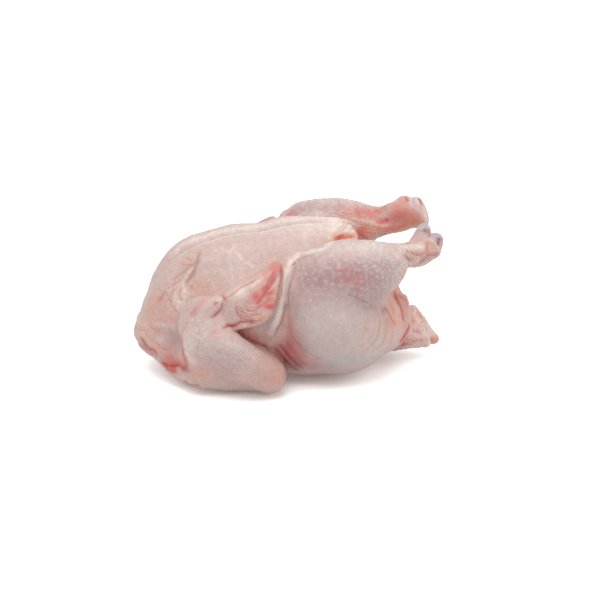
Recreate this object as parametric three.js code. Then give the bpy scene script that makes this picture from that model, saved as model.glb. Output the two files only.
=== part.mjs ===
// A whole raw chicken, plucked and drawn, lying on its back with both wings folded against its sides.
// Millimetres. +X runs from the neck end to the tail, +Z up from the surface it lies on, and the bird's
// right side is at -Y. The origin is on the surface, under the middle of the bird.
//
// The bird is one closed skin. Each part of its body is a distance field, the fields are blended like clay,
// a net of triangles is drawn over the surface where the blended distance is zero, and the net is thinned
// where the skin is nearly flat.
import * as THREE from "three";

// ---- Driving dimensions ----
const MESH_CELL = 3.6; // edge of one cell of the first net
const BUDGET = 11600; // triangles left after thinning
const REST_SNAP = 0.05; // skin nearer to the surface than this lies flat on it
const SOFT = { body: 16, thigh: 14, muscle: 12, skin: 9, fold: 5, crease: 4 }; // reach of each kind of blend

const BREAST = { halfGap: 17, length: 180, height: 57.5, end: 61.5, endRound: 10 };
const LIP_RADIUS = 3; // the edge of the breast skin, where it meets the leg
const HAND = { thickness: 9, looseThickness: 12 }; // the last joint of the wing, tucked and loose
const LOOSE_WING = [8, -2, 8]; // how the left wing lies against the right one
const LOOSE_HAND_LIFT = 8; // how much higher the left wing's last joint lies than the rest of it
const TAIL_SPREAD = 1.3; // how much wider than high the tail is
const VENT = { at: [62, 0, 76], size: [66, 27, 27], tilt: -22 }; // the opening below the breast

const RIGHT = -1; // the sign of y on each side
const LEFT = 1;

// ---- Distance fields: functions of a point that are negative inside ----
const clamp = (value, low, high) => Math.min(high, Math.max(low, value));

/** An ellipsoid with its centre, its three half-lengths and its turns about x, y and z in degrees. */
function lump(at, size, turn = [0, 0, 0]) {
  const euler = new THREE.Euler(...turn.map(THREE.MathUtils.degToRad), "ZYX");
  const m = new THREE.Matrix4().makeRotationFromEuler(euler).transpose().elements;
  const [cx, cy, cz] = at;
  const [sx, sy, sz] = size;
  return (x, y, z) => {
    const dx = x - cx, dy = y - cy, dz = z - cz;
    const px = (m[0] * dx + m[4] * dy + m[8] * dz) / sx;
    const py = (m[1] * dx + m[5] * dy + m[9] * dz) / sy;
    const pz = (m[2] * dx + m[6] * dy + m[10] * dz) / sz;
    const reach = Math.sqrt(px * px + py * py + pz * pz);
    const slope = Math.sqrt((px / sx) ** 2 + (py / sy) ** 2 + (pz / sz) ** 2);
    return slope < 1e-9 ? -Math.min(sx, sy, sz) : (reach * (reach - 1)) / slope;
  };
}

/** A limb: spheres of changing radius swept through stations [x, y, z, radius], in straight stretches. */
function limb(...stations) {
  const stretches = stations.slice(1).map((b, i) => {
    const a = stations[i];
    const along = [b[0] - a[0], b[1] - a[1], b[2] - a[2]];
    return [...a, ...along, b[3] - a[3], along[0] ** 2 + along[1] ** 2 + along[2] ** 2];
  });
  return (x, y, z) => {
    let nearest = Infinity;
    for (const [ax, ay, az, radius, ex, ey, ez, taper, length2] of stretches) {
      const dx = x - ax, dy = y - ay, dz = z - az;
      const t = clamp((dx * ex + dy * ey + dz * ez) / length2, 0, 1);
      const gap = Math.sqrt((dx - ex * t) ** 2 + (dy - ey * t) ** 2 + (dz - ez * t) ** 2) - radius - taper * t;
      if (gap < nearest) nearest = gap;
    }
    return nearest;
  };
}

/** Points of any dimension, with three more between each two on a smooth curve through them all. */
function smoothed(points, closed = false, steps = 4) {
  const last = points.length - 1;
  const point = (i) => {
    if (closed) return points[(i + points.length) % points.length];
    if (i < 0) return points[0].map((v, n) => 2 * v - points[1][n]);
    return i > last ? points[last].map((v, n) => 2 * v - points[last - 1][n]) : points[i];
  };
  const path = [];
  for (let i = 0; i < (closed ? points.length : last); i++) {
    const [before, from, to, after] = [point(i - 1), point(i), point(i + 1), point(i + 2)];
    for (let k = 0; k < steps; k++) {
      const t = k / steps;
      path.push(from.map((v, n) => v + 0.5 * t * (to[n] - before[n] +
        t * (2 * before[n] - 5 * v + 4 * to[n] - after[n] + t * (3 * (v - to[n]) + after[n] - before[n])))));
    }
  }
  return closed ? path : [...path, points[last]];
}

/** The limb through the same stations, rounded into one smooth curve. */
const curvedLimb = (...stations) => limb(...smoothed(stations));

function blend(a, b, soft) {
  const near = Math.max(soft - Math.abs(a - b), 0) / soft;
  return Math.min(a, b) - (near * near * soft) / 4;
}

function join(soft, first, ...others) {
  return (x, y, z) => {
    let whole = first(x, y, z);
    for (const field of others) whole = blend(whole, field(x, y, z), soft);
    return whole;
  };
}

/** The first field with the second one cut out of it, with a lip rounded by soft. */
const carve = (field, hole, soft) => (x, y, z) => -blend(-field(x, y, z), hole(x, y, z), soft);

/** The field cut off behind a plane through `at` that faces `facing`, with an edge rounded by soft. */
function trimmed(field, at, facing, soft) {
  const [nx, ny, nz] = new THREE.Vector3(...facing).normalize().toArray();
  const beyond = (x, y, z) => (x - at[0]) * nx + (y - at[1]) * ny + (z - at[2]) * nz;
  return (x, y, z) => -blend(-field(x, y, z), -beyond(x, y, z), soft);
}

/** The same field on the bird's other side, and the same field moved. */
const mirrored = (field) => (x, y, z) => field(x, -y, z);
const moved = (field, by) => (x, y, z) => field(x - by[0], y - by[1], z - by[2]);

/** The distance in x and z to a smooth closed outline, negative inside it. */
function outlined(corners) {
  const path = smoothed(corners, true, 3);
  return (x, z) => {
    let nearest = Infinity;
    let inside = false;
    path.forEach(([ax, az], i) => {
      const [bx, bz] = path[(i + 1) % path.length];
      const t = clamp(((x - ax) * (bx - ax) + (z - az) * (bz - az)) / ((bx - ax) ** 2 + (bz - az) ** 2), 0, 1);
      nearest = Math.min(nearest, Math.hypot(x - ax - t * (bx - ax), z - az - t * (bz - az)));
      if (az > z !== bz > z && x < ((bx - ax) * (z - az)) / (bz - az) + ax) inside = !inside;
    });
    return inside ? -nearest : nearest;
  };
}

/** A flap on the right side: it lies over the field `under` and has the given outline seen from the side. */
function draped(under, corners, thickness, soft) {
  const outline = outlined(corners);
  return (x, y, z) => {
    const lid = under(x, y, z) - thickness;
    if (lid > 40 || y > 0) return Math.max(lid, y + 8);
    return Math.max(-blend(-lid, -outline(x, z), soft), y + 8);
  };
}

/** Stations on the right side, given as [x, z, radius], each moved in y to where it meets the field's skin. */
function laid(field, stations) {
  return stations.map(([x, z, radius]) => {
    let y = -115;
    while (y < -2 && field(x, y, z) > 0) y += 0.5;
    return [x, y, z, radius];
  });
}

// ---- Trunk ----
function trunk() {
  const ribs = lump([-25, 0, 56], [96, 69, 55]);
  const back = lump([6, 0, 34], [86, 50, 36]);
  const neckEnd = lump([-94, 0, 43.5], [33, 43, 33.5], [0, 12, 0]);
  const neckSkin = curvedLimb([-103, -33, 29, 15], [-116, -14, 34, 15], [-119, 0, 35, 14], [-116, 14, 34, 15],
    [-103, 33, 29, 15]);
  const shoulders = join(SOFT.body, lump([-82, -39, 18], [26, 26, 17]), lump([-82, 39, 18], [26, 26, 17]));
  const breast = trimmed(join(SOFT.fold, breastHalf(RIGHT), breastHalf(LEFT)),
    [BREAST.end, 0, 112], [1, 0, 0.12], BREAST.endRound);
  return join(SOFT.skin, join(SOFT.body, ribs, back, neckEnd), join(SOFT.skin, neckSkin, shoulders), breast);
}

/** One half of the breast: the long muscle, the full part over the keel and the square end above the vent. */
function breastHalf(side) {
  return join(SOFT.thigh,
    lump([-28, side * BREAST.halfGap, 66], [BREAST.length / 2, 36, BREAST.height]),
    lump([12, side * 15, 81], [46, 31, 47]),
    lump([43, side * 10, 99], [36, 21, 28.5]));
}

/** The edge of the breast skin: a thin roll from the end of the breast down in front of the right leg. */
function skinLip(under) {
  const edge = [[55, 115], [46, 113.5], [31, 114], [15, 112], [4.8, 109], [-2.5, 103], [-7.2, 95],
    [-10.1, 87.5], [-13.2, 78.6], [-15.5, 69], [-19.3, 60.7], [-24, 50]];
  const radius = (i) => LIP_RADIUS * Math.min(1, 0.8 + 0.2 * i, 0.5 + 0.25 * (edge.length - 1 - i));
  return limb(...smoothed(laid(under, edge.map(([x, z], i) => [x, z, radius(i)]))));
}

// ---- Legs ----
function thigh() {
  return join(SOFT.thigh,
    lump([40, -43, 49], [51, 44, 43.5], [0, -10, 0]),
    lump([21, -56, 64], [30, 31, 38]),
    lump([3, -37, 31.5], [34, 30, 26]),
    curvedLimb([87, -36, 85, 2.5], [89, -36, 77, 3.5], [89, -35, 67, 6.5], [94, -34, 55, 9], [93, -35, 42, 11],
      [84, -36, 33, 12]));
}

function rightLeg() {
  const drumstick = curvedLimb([13, -57, 88, 20], [29, -60, 97.5, 27.5], [50, -61, 98.5, 28], [70, -60, 101.5, 22.5],
    [84, -58, 108.5, 13.5], [94, -56.5, 111.5, 10.5], [103, -54, 112.5, 11.5]);
  const hock = join(4, lump([111, -52, 115], [15, 12, 11.5], [0, -24, 0]),
    join(2, limb([106, -43, 118, 7], [112, -41.5, 128, 6.8]), limb([114, -53, 116, 6], [119, -54, 122.8, 7])),
    limb([100, -58, 106.5, 4.5], [118, -60, 113.5, 4]));
  return join(SOFT.fold, join(SOFT.muscle, drumstick, thigh()), hock);
}

/** The left leg, told as if it were on the right side. It is drawn up a little more, and its hock is cut off. */
function leftLeg() {
  const drumstick = curvedLimb([10, -57, 94.5, 21.5], [28, -60.5, 102, 28], [48, -61, 104.5, 28], [68, -60, 107.5, 22],
    [84, -59, 111, 14.5], [96, -58, 113, 11.5], [108, -57, 115, 12]);
  const knuckle = join(4, limb([108, -57, 115.5, 12], [130, -55, 118.5, 14.5]), lump([116, -60, 125.5], [8, 8, 8]));
  const hock = trimmed(knuckle, [133, -55, 123], [0.86, 0.35, 0.37], 3);
  const calf = curvedLimb([50, -46, 94, 14], [82, -49, 104, 9], [112, -53, 110, 8]);
  return join(SOFT.fold, join(SOFT.muscle, drumstick, thigh()), join(7, calf, hock));
}

// ---- Tail ----
function tail() {
  const wedge = curvedLimb([92, 0, 28, 20], [108, 0, 27, 17.5], [122, 0, 21, 9.5], [133.5, 0, 15.5, 4]);
  const top = lump([113, 0, 33], [10, 13, 8.5], [0, 30, 0]);
  const nub = (side) => limb([117, side * 10, 18, 6], [124.5, side * 11, 15, 3]);
  return join(SOFT.fold, (x, y, z) => wedge(x, y / TAIL_SPREAD, z), top, join(3, nub(RIGHT), nub(LEFT)));
}

// ---- Wings ----
/** A folded wing on the right side, moved by `shift`, with its last joint lying over the body, raised by `lift`. */
function wing(body, shift, handThickness, lift) {
  const upperArm = limb([-84, -49, 24.5, 19.5], [-58, -66, 18.5, 16], [-28, -72, 14.5, 12.5]);
  const foreArm = curvedLimb([-81, -72, 60, 17], [-61, -80, 43, 17], [-37, -84, 27.5, 15.5], [-24, -81, 19.5, 13.5]);
  const web = lump([-76, -68, 38], [21, 13, 32], [0, 12, 0]);
  const wrist = lump([-77, -70, 66], [18, 12, 22], [0, -25, 0]);
  const thumb = limb([-78, -75, 77, 7.5], [-67, -74, 82, 6]);
  const innerSkin = join(SOFT.skin, limb([-74, -56, 66, 13], [-68, -57, 46, 15], [-44, -60, 33, 13], [-28, -65, 22, 12]),
    limb([-66, -50, 20, 15], [-26, -58, 19, 14]));
  const arm = join(SOFT.skin, join(SOFT.skin, upperArm, foreArm, web), innerSkin, join(SOFT.fold, wrist, thumb));
  const handOutline = [[-60, 85], [-49, 91], [-35, 97], [-23, 103], [-14.5, 107], [-10.5, 104], [-10.5, 98],
    [-12.5, 87.5], [-16.5, 77], [-22.5, 67.5], [-29, 62.5], [-43, 59], [-57, 57], [-69, 64], [-70, 78]];
  const placed = handOutline.map(([x, z]) => [x + shift[0], z + shift[2] + lift]);
  const hand = draped(body, placed, handThickness, SOFT.fold);
  return join(SOFT.crease, moved(arm, shift), hand);
}

// ---- The whole bird ----
function bird() {
  const body = trunk();
  const lip = skinLip(body);
  const skinned = join(6, body, join(1, lip, mirrored(lip)));
  const right = join(SOFT.crease, rightLeg(), wing(body, [0, 0, 0], HAND.thickness, 0));
  const left = mirrored(join(SOFT.crease, leftLeg(), wing(body, LOOSE_WING, HAND.looseThickness, LOOSE_HAND_LIFT)));
  const whole = join(SOFT.fold, join(SOFT.crease, skinned, right, left), tail());
  const hollow = join(10, lump(VENT.at, VENT.size, [0, VENT.tilt, 0]), lump([40, 0, 60], [50, 32, 24], [0, -10, 0]));
  const drawn = carve(whole, hollow, 6);
  return (x, y, z) => Math.max(drawn(x, y, z), -z);
}

// ---- The net over the surface ----
const REACH = { low: [-140, -108, -6], high: [146, 108, 142] };

// The six tetrahedra that fill a cell, with corner numbers 0 to 7: bit n is a step along axis n.
const TETRAHEDRA = [[0, 1, 3, 7], [1, 0, 5, 7], [2, 0, 3, 7], [0, 2, 6, 7], [0, 4, 5, 7], [4, 0, 6, 7]];
// The corners of a tetrahedron in an order that keeps its sense: one corner first, or two corners first.
const ONE_FIRST = [[0, 1, 2, 3], [1, 0, 3, 2], [2, 3, 0, 1], [3, 2, 1, 0]];
const TWO_FIRST = [[0, 1, 2, 3], [0, 2, 3, 1], [0, 3, 1, 2], [1, 2, 0, 3], [1, 3, 2, 0], [2, 3, 0, 1]];

/** The closed surface where field is zero. Its points lie on the edges of the tetrahedra that it crosses. */
function netOver(field, cell) {
  const count = REACH.low.map((low, i) => Math.ceil((REACH.high[i] - low) / cell) + 1);
  const [stepY, stepZ] = [count[0], count[0] * count[1]];
  const place = (node) => [node % stepY, Math.floor((node % stepZ) / stepY), Math.floor(node / stepZ)]
    .map((step, axis) => REACH.low[axis] + step * cell);
  const values = Float64Array.from({ length: stepZ * count[2] }, (_, node) => field(...place(node)));

  const points = [];
  const pointOf = new Map();
  const crossing = (inner, outer) => {
    const key = Math.min(inner, outer) * values.length + Math.max(inner, outer);
    if (!pointOf.has(key)) {
      pointOf.set(key, points.length);
      points.push(edgePoint(field, place(inner), place(outer)));
    }
    return pointOf.get(key);
  };
  const triangles = [];
  const corner = (node, c) => node + (c & 1) + ((c >> 1) & 1) * stepY + (c >> 2) * stepZ;
  for (let k = 0; k + 1 < count[2]; k++)
    for (let j = 0; j + 1 < count[1]; j++)
      for (let i = 0; i + 1 < count[0]; i++) {
        const nodes = [...Array(8).keys()].map((c) => corner(i + j * stepY + k * stepZ, c));
        const full = nodes.filter((node) => values[node] < 0).length;
        if (full % 8 === 0) continue;
        for (const tetrahedron of TETRAHEDRA) {
          const four = tetrahedron.map((c) => nodes[c]);
          const inside = four.map((node) => values[node] < 0);
          const inner = inside.filter(Boolean).length;
          if (inner === 2) {
            const [a, b, c, d] = TWO_FIRST.find(([p, q]) => inside[p] && inside[q]).map((n) => four[n]);
            const ring = [crossing(a, c), crossing(a, d), crossing(b, d), crossing(b, c)];
            triangles.push([ring[0], ring[1], ring[2]], [ring[0], ring[2], ring[3]]);
          } else if (inner % 4) {
            const [a, b, c, d] = ONE_FIRST[inside.indexOf(inner === 1)].map((n) => four[n]);
            const others = inner === 1 ? [b, c, d] : [b, d, c];
            triangles.push(others.map((other) => (inner === 1 ? crossing(a, other) : crossing(other, a))));
          }
        }
      }
  return { points, triangles };
}

/** Where the surface crosses the edge from an inner to an outer point. A point just above the rest is laid on it. */
function edgePoint(field, inner, outer) {
  let [from, to] = [0, 1];
  const along = (t) => inner.map((v, n) => v + (outer[n] - v) * t);
  for (let round = 0; round < 9; round++) {
    const middle = (from + to) / 2;
    if (field(...along(middle)) < 0) from = middle;
    else to = middle;
  }
  const point = along((from + to) / 2);
  if (point[2] < REST_SNAP) point[2] = 0;
  return point;
}

// ---- Thinning the net ----
/** Twice the area of a triangle times its normal. */
function areaVector(a, b, c) {
  const [ux, uy, uz] = [b[0] - a[0], b[1] - a[1], b[2] - a[2]];
  const [vx, vy, vz] = [c[0] - a[0], c[1] - a[1], c[2] - a[2]];
  return [uy * vz - uz * vy, uz * vx - ux * vz, ux * vy - uy * vx];
}

/** A heap of [cost, ...] entries, the cheapest first. */
class Queue {
  items = [];
  push(entry) {
    let i = this.items.push(entry) - 1;
    while (i > 0) {
      const up = (i - 1) >> 1;
      if (this.items[up][0] <= this.items[i][0]) break;
      [this.items[up], this.items[i]] = [this.items[i], this.items[up]];
      i = up;
    }
  }
  pop() {
    const first = this.items[0];
    const last = this.items.pop();
    if (!this.items.length) return first;
    this.items[0] = last;
    for (let i = 0; ;) {
      let least = i;
      for (const next of [2 * i + 1, 2 * i + 2])
        if (next < this.items.length && this.items[next][0] < this.items[least][0]) least = next;
      if (least === i) return first;
      [this.items[least], this.items[i]] = [this.items[i], this.items[least]];
      i = least;
    }
  }
}

/**
 * The net with only `budget` triangles: again and again the edge that matters least for the shape is drawn
 * together into one point. The cost of a point is its squared distance to the planes of the triangles it
 * stands for. The skin on the surface stays flat, and no triangle is turned over.
 */
function thinned({ points, triangles }, budget) {
  const around = points.map(() => new Set());
  const planes = points.map(() => new Float64Array(10));
  const stamp = points.map(() => 0);
  triangles.forEach((triangle, t) => {
    const [a, b, c] = triangle.map((v) => points[v]);
    const area = areaVector(a, b, c);
    const size = Math.hypot(...area) || 1;
    const [nx, ny, nz] = area.map((v) => v / size);
    const d = -(nx * a[0] + ny * a[1] + nz * a[2]);
    const terms = [nx * nx, nx * ny, nx * nz, nx * d, ny * ny, ny * nz, ny * d, nz * nz, nz * d, d * d];
    for (const v of triangle) {
      around[v].add(t);
      terms.forEach((term, n) => (planes[v][n] += term * size));
    }
  });
  const cost = (q, [x, y, z]) => q[0] * x * x + 2 * x * (q[1] * y + q[2] * z + q[3]) + q[4] * y * y +
    2 * y * (q[5] * z + q[6]) + q[7] * z * z + 2 * z * q[8] + q[9];
  const neighbours = (v) => new Set([...around[v]].flatMap((t) => triangles[t]).filter((w) => w !== v));

  /** The best single point for an edge, with its cost. */
  const merged = (u, v) => {
    const q = planes[u].map((term, n) => term + planes[v][n]);
    const [p, r] = [points[u], points[v]];
    const flat = (p[2] === 0) !== (r[2] === 0);
    const middle = p.map((value, n) => (value + r[n]) / 2);
    const options = flat ? [p[2] === 0 ? p : r] : [middle, p, r];
    if (!flat && p[2] !== 0) {
      const pull = 0.02 * (q[0] + q[4] + q[7]) + 1e-9; // a slight pull to the middle keeps triangles even
      const m = new THREE.Matrix3(q[0] + pull, q[1], q[2], q[1], q[4] + pull, q[5], q[2], q[5], q[7] + pull);
      const best = new THREE.Vector3(pull * middle[0] - q[3], pull * middle[1] - q[6], pull * middle[2] - q[8])
        .applyMatrix3(m.invert()).toArray();
      const near = Math.hypot(...best.map((value, n) => value - middle[n])) < MESH_CELL * 4;
      if (near && best[2] > REST_SNAP) options.unshift(best);
    }
    const length2 = p.reduce((sum, value, n) => sum + (value - r[n]) ** 2, 0);
    return options.map((option) => [cost(q, option) + 2e-4 * length2 * length2, option])
      .reduce((least, option) => (option[0] < least[0] ? option : least));
  };
  const queue = new Queue();
  const offer = (u, v) => queue.push([merged(u, v)[0], u, v, stamp[u], stamp[v]]);
  points.forEach((_, u) => neighbours(u).forEach((v) => u < v && offer(u, v)));

  let left = triangles.length;
  while (left > budget && queue.items.length) {
    const [, u, v, stampU, stampV] = queue.pop();
    if (stamp[u] !== stampU || stamp[v] !== stampV) continue;
    const [ringU, ringV] = [neighbours(u), neighbours(v)];
    if ([...ringU].filter((w) => ringV.has(w)).length !== 2) continue;
    const [, target] = merged(u, v);
    const turned = [u, v].some((end) => [...around[end]].some((t) => {
      if (triangles[t].includes(u) && triangles[t].includes(v)) return false;
      const before = areaVector(...triangles[t].map((w) => points[w]));
      const after = areaVector(...triangles[t].map((w) => (w === end ? target : points[w])));
      const same = before.reduce((sum, value, n) => sum + value * after[n], 0);
      return same < 0.35 * Math.hypot(...before) * Math.hypot(...after) || Math.hypot(...after) < 0.05;
    }));
    if (turned) continue;
    points[u] = target;
    planes[v].forEach((term, n) => (planes[u][n] += term));
    stamp[u]++;
    stamp[v] = -1;
    for (const t of [...around[v]]) {
      if (triangles[t].includes(u)) {
        triangles[t].forEach((w) => around[w].delete(t));
        triangles[t] = null;
        left--;
      } else {
        triangles[t] = triangles[t].map((w) => (w === v ? u : w));
        around[u].add(t);
      }
    }
    around[v].clear();
    for (const w of neighbours(u)) offer(u, w);
  }
  return { points, triangles: triangles.filter(Boolean) };
}

/** The net as a geometry with the origin under the middle of its box. */
function geometryOf({ points, triangles }) {
  const used = [...new Set(triangles.flat())];
  const place = new Map(used.map((v, i) => [v, i]));
  const geometry = new THREE.BufferGeometry()
    .setAttribute("position", new THREE.Float32BufferAttribute(used.flatMap((v) => points[v]), 3))
    .setIndex(triangles.flat().map((v) => place.get(v)));
  geometry.computeBoundingBox();
  const middle = geometry.boundingBox.getCenter(new THREE.Vector3());
  return geometry.translate(-middle.x, -middle.y, 0);
}

const skin = new THREE.MeshStandardMaterial({ color: 0xdcbcae, roughness: 0.45, metalness: 0 });
const chicken = new THREE.Mesh(geometryOf(thinned(netOver(bird(), MESH_CELL), BUDGET)), skin);
chicken.name = "chicken";

const group = new THREE.Group();
group.add(chicken);
export default group;
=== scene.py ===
"""A whole raw chicken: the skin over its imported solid, with folds, colour and wet finish.

Sizes are in millimetres until a mesh is made. The bird lies on its back: +X is the tail, +Z is up,
its right side is at -Y, and `MIDDLE` is the place in these sizes where the frame has its origin.
"""

from __future__ import annotations

import logging
import math
from collections.abc import Iterator, Sequence
from dataclasses import dataclass
from enum import Enum
from itertools import product
from typing import Any, ClassVar

import bpy
import numpy as np
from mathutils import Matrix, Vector
from mathutils.bvhtree import BVHTree
from mathutils.kdtree import KDTree


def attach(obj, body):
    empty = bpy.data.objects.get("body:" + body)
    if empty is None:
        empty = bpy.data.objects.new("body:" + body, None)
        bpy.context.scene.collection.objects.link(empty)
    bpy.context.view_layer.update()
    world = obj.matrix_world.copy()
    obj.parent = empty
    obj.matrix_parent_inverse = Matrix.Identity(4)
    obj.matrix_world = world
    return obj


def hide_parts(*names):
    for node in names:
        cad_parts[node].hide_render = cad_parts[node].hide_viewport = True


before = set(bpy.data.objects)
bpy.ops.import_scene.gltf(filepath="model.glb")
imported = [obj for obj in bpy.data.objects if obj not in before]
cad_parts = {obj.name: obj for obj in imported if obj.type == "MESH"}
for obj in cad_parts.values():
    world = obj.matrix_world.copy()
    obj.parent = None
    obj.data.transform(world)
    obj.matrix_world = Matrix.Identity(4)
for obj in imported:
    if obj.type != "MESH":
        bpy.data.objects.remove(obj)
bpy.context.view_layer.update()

LOG = logging.getLogger("chicken")
MIDDLE = (3.2376, 1.0049, 0.0)
METRE = 1000.0
FAR = 1e9
TINY = 1e-9
CORNERS = tuple(product((0, 1), repeat=3))
Array = np.ndarray
Triple = tuple[float, float, float]
Station = tuple[float, float, float, float]
Outline = tuple[tuple[float, float], ...]


# ---------------------------------------------------------------- forms


def blend(a: Array, b: Array, soft: float) -> Array:
    """Joins two distances with a fillet about `soft` wide."""
    near = np.maximum(soft - np.abs(a - b), 0) / soft
    return np.minimum(a, b) - near * near * soft / 4


def smoothed(points: Sequence[Sequence[float]], steps: int = 4, closed: bool = False) -> Array:
    """Runs a smooth line through points.

    Args:
        points: The points, each of any number of values.
        steps: How many pieces each span is cut into.
        closed: Whether the last point joins the first.

    Returns:
        The line's points, one row each.
    """
    given = np.array(points, float)
    count = len(given)
    line = []
    for i in range(count if closed else count - 1):
        b, c = given[i], given[(i + 1) % count]
        a = given[i - 1] if closed or i else 2 * b - c
        d = given[(i + 2) % count] if closed or i + 2 < count else 2 * c - b
        for step in range(steps):
            t = step / steps
            cubic = (3 * b - a - 3 * c + d) * t**3
            line.append((2 * b + (c - a) * t + (2 * a - 5 * b + 4 * c - d) * t * t + cubic) / 2)
    if not closed:
        line.append(given[-1])
    return np.array(line)


class Form:
    """A solid form, called with points for its signed distance to them: below zero is inside.

    `low` and `high` are the corners of its box. It shapes a join up to `fillet` fillet widths away.
    """

    low: Array
    high: Array
    fillet: ClassVar[float] = 1.6
    slack: ClassVar[float] = 4

    def __call__(self, at: Array) -> Array:
        """Gives the distance to each point."""
        raise NotImplementedError

    def away(self, at: Array) -> Array:
        """Gives how far each point is from the form's box."""
        gap = np.maximum(np.maximum(self.low - at, at - self.high), 0)
        return np.sqrt((gap * gap).sum(1))

    def matters(self, at: Array, depth: Array, soft: float) -> Array:
        """Tells where the form can shape its join with another one.

        Args:
            at: The points.
            depth: How far from the form's box it can, leaving out the fillet.
            soft: The fillet's width.

        Returns:
            Whether it can, for each point.
        """
        return self.away(at) < depth + self.fillet * soft + self.slack


class Lump(Form):
    """An ellipsoid."""

    def __init__(self, at: Triple, size: Triple, turn: Triple = (0, 0, 0)) -> None:
        """Places it.

        Args:
            at: Its middle.
            size: Its half widths along its own axes.
            turn: Its turns about x, y and z, in degrees.
        """
        angles = [math.radians(t) for t in turn]
        (cx, sx), (cy, sy), (cz, sz) = ((math.cos(t), math.sin(t)) for t in angles)
        about_x = np.array([[1, 0, 0], [0, cx, -sx], [0, sx, cx]])
        about_y = np.array([[cy, 0, sy], [0, 1, 0], [-sy, 0, cy]])
        about_z = np.array([[cz, -sz, 0], [sz, cz, 0], [0, 0, 1]])
        self.turn = (about_z @ about_y @ about_x).astype(np.float32)
        self.at = np.array(at, np.float32)
        self.size = np.array(size, np.float32)
        reach = np.abs(self.turn) @ self.size
        self.low, self.high = self.at - reach, self.at + reach

    def __call__(self, at: Array) -> Array:
        """Gives the distance to each point."""
        own = ((at - self.at) @ self.turn) / self.size
        reach = np.sqrt((own * own).sum(1))
        slope = np.sqrt(((own / self.size) ** 2).sum(1))
        return np.where(slope < TINY, -self.size.min(), reach * (reach - 1) / np.maximum(slope, TINY))


class Limb(Form):
    """A round rod that runs through stations (x, y, z, radius)."""

    def __init__(self, *stations: Station, curved: bool = False) -> None:
        """Places it.

        Args:
            stations: The stations along it.
            curved: Whether it bends smoothly at them.
        """
        self.line = (smoothed(stations) if curved else np.array(stations)).astype(np.float32)
        self.low = (self.line[:, :3] - self.line[:, 3:]).min(0)
        self.high = (self.line[:, :3] + self.line[:, 3:]).max(0)

    def __call__(self, at: Array) -> Array:
        """Gives the distance to each point."""
        best = np.full(len(at), FAR, np.float32)
        for a, b in zip(self.line[:-1], self.line[1:]):
            along = b[:3] - a[:3]
            off = at - a[:3]
            t = np.clip(off @ along / max(float(along @ along), TINY), 0, 1)
            gap = off - t[:, None] * along
            best = np.minimum(best, np.sqrt((gap * gap).sum(1)) - (a[3] + (b[3] - a[3]) * t))
        return best


class Joined(Form):
    """Forms joined with a fillet. Each is worked out only near itself."""

    caution: ClassVar[float] = 1.5

    def __init__(self, soft: float, *parts: Form) -> None:
        """Takes the fillet's width and the forms."""
        self.soft = soft
        self.parts = parts
        self.low = np.min([p.low for p in parts], 0)
        self.high = np.max([p.high for p in parts], 0)

    def __call__(self, at: Array) -> Array:
        """Gives the distance to each point."""
        whole = self.parts[0](at)
        for part in self.parts[1:]:
            near = part.matters(at, self.caution * np.maximum(whole, 0), self.soft)
            if near.any():
                whole[near] = blend(whole[near], part(at[near]), self.soft)
        return whole


class Carved(Form):
    """A form with another one taken out of it."""

    def __init__(self, body: Form, hole: Form, soft: float) -> None:
        """Takes the form, the hole and the width of the hole's round edge."""
        self.body, self.hole, self.soft = body, hole, soft
        self.low, self.high = body.low, body.high

    def __call__(self, at: Array) -> Array:
        """Gives the distance to each point."""
        whole = self.body(at)
        near = self.hole.matters(at, np.maximum(-whole, 0), self.soft)
        if near.any():
            whole[near] = -blend(-whole[near], self.hole(at[near]), self.soft)
        return whole


class Trimmed(Form):
    """A form cut off flat, with a round edge."""

    def __init__(self, body: Form, at: Triple, facing: Triple, soft: float) -> None:
        """Takes the form, a point of the cut, the way the cut faces and its edge's width."""
        self.body, self.soft = body, soft
        self.at = np.array(at, np.float32)
        self.facing = np.array(facing, np.float32) / np.linalg.norm(facing)
        self.low, self.high = body.low, body.high

    def __call__(self, at: Array) -> Array:
        """Gives the distance to each point."""
        return -blend(-self.body(at), -((at - self.at) @ self.facing), self.soft)


class Placed(Form):
    """A form that is moved, and flipped or stretched in y."""

    def __init__(self, body: Form, shift: Triple = (0, 0, 0), stretch: float = 1.0) -> None:
        """Takes the form, how far it moves and how much wider in y it becomes; -1 is its mirror image."""
        self.body = body
        self.shift = np.array(shift, np.float32)
        self.scale = np.array([1, 1 / stretch, 1], np.float32)
        ends = np.array([body.low, body.high]) / self.scale + self.shift
        self.low, self.high = ends.min(0), ends.max(0)

    def __call__(self, at: Array) -> Array:
        """Gives the distance to each point."""
        return self.body((at - self.shift) * self.scale)


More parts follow.
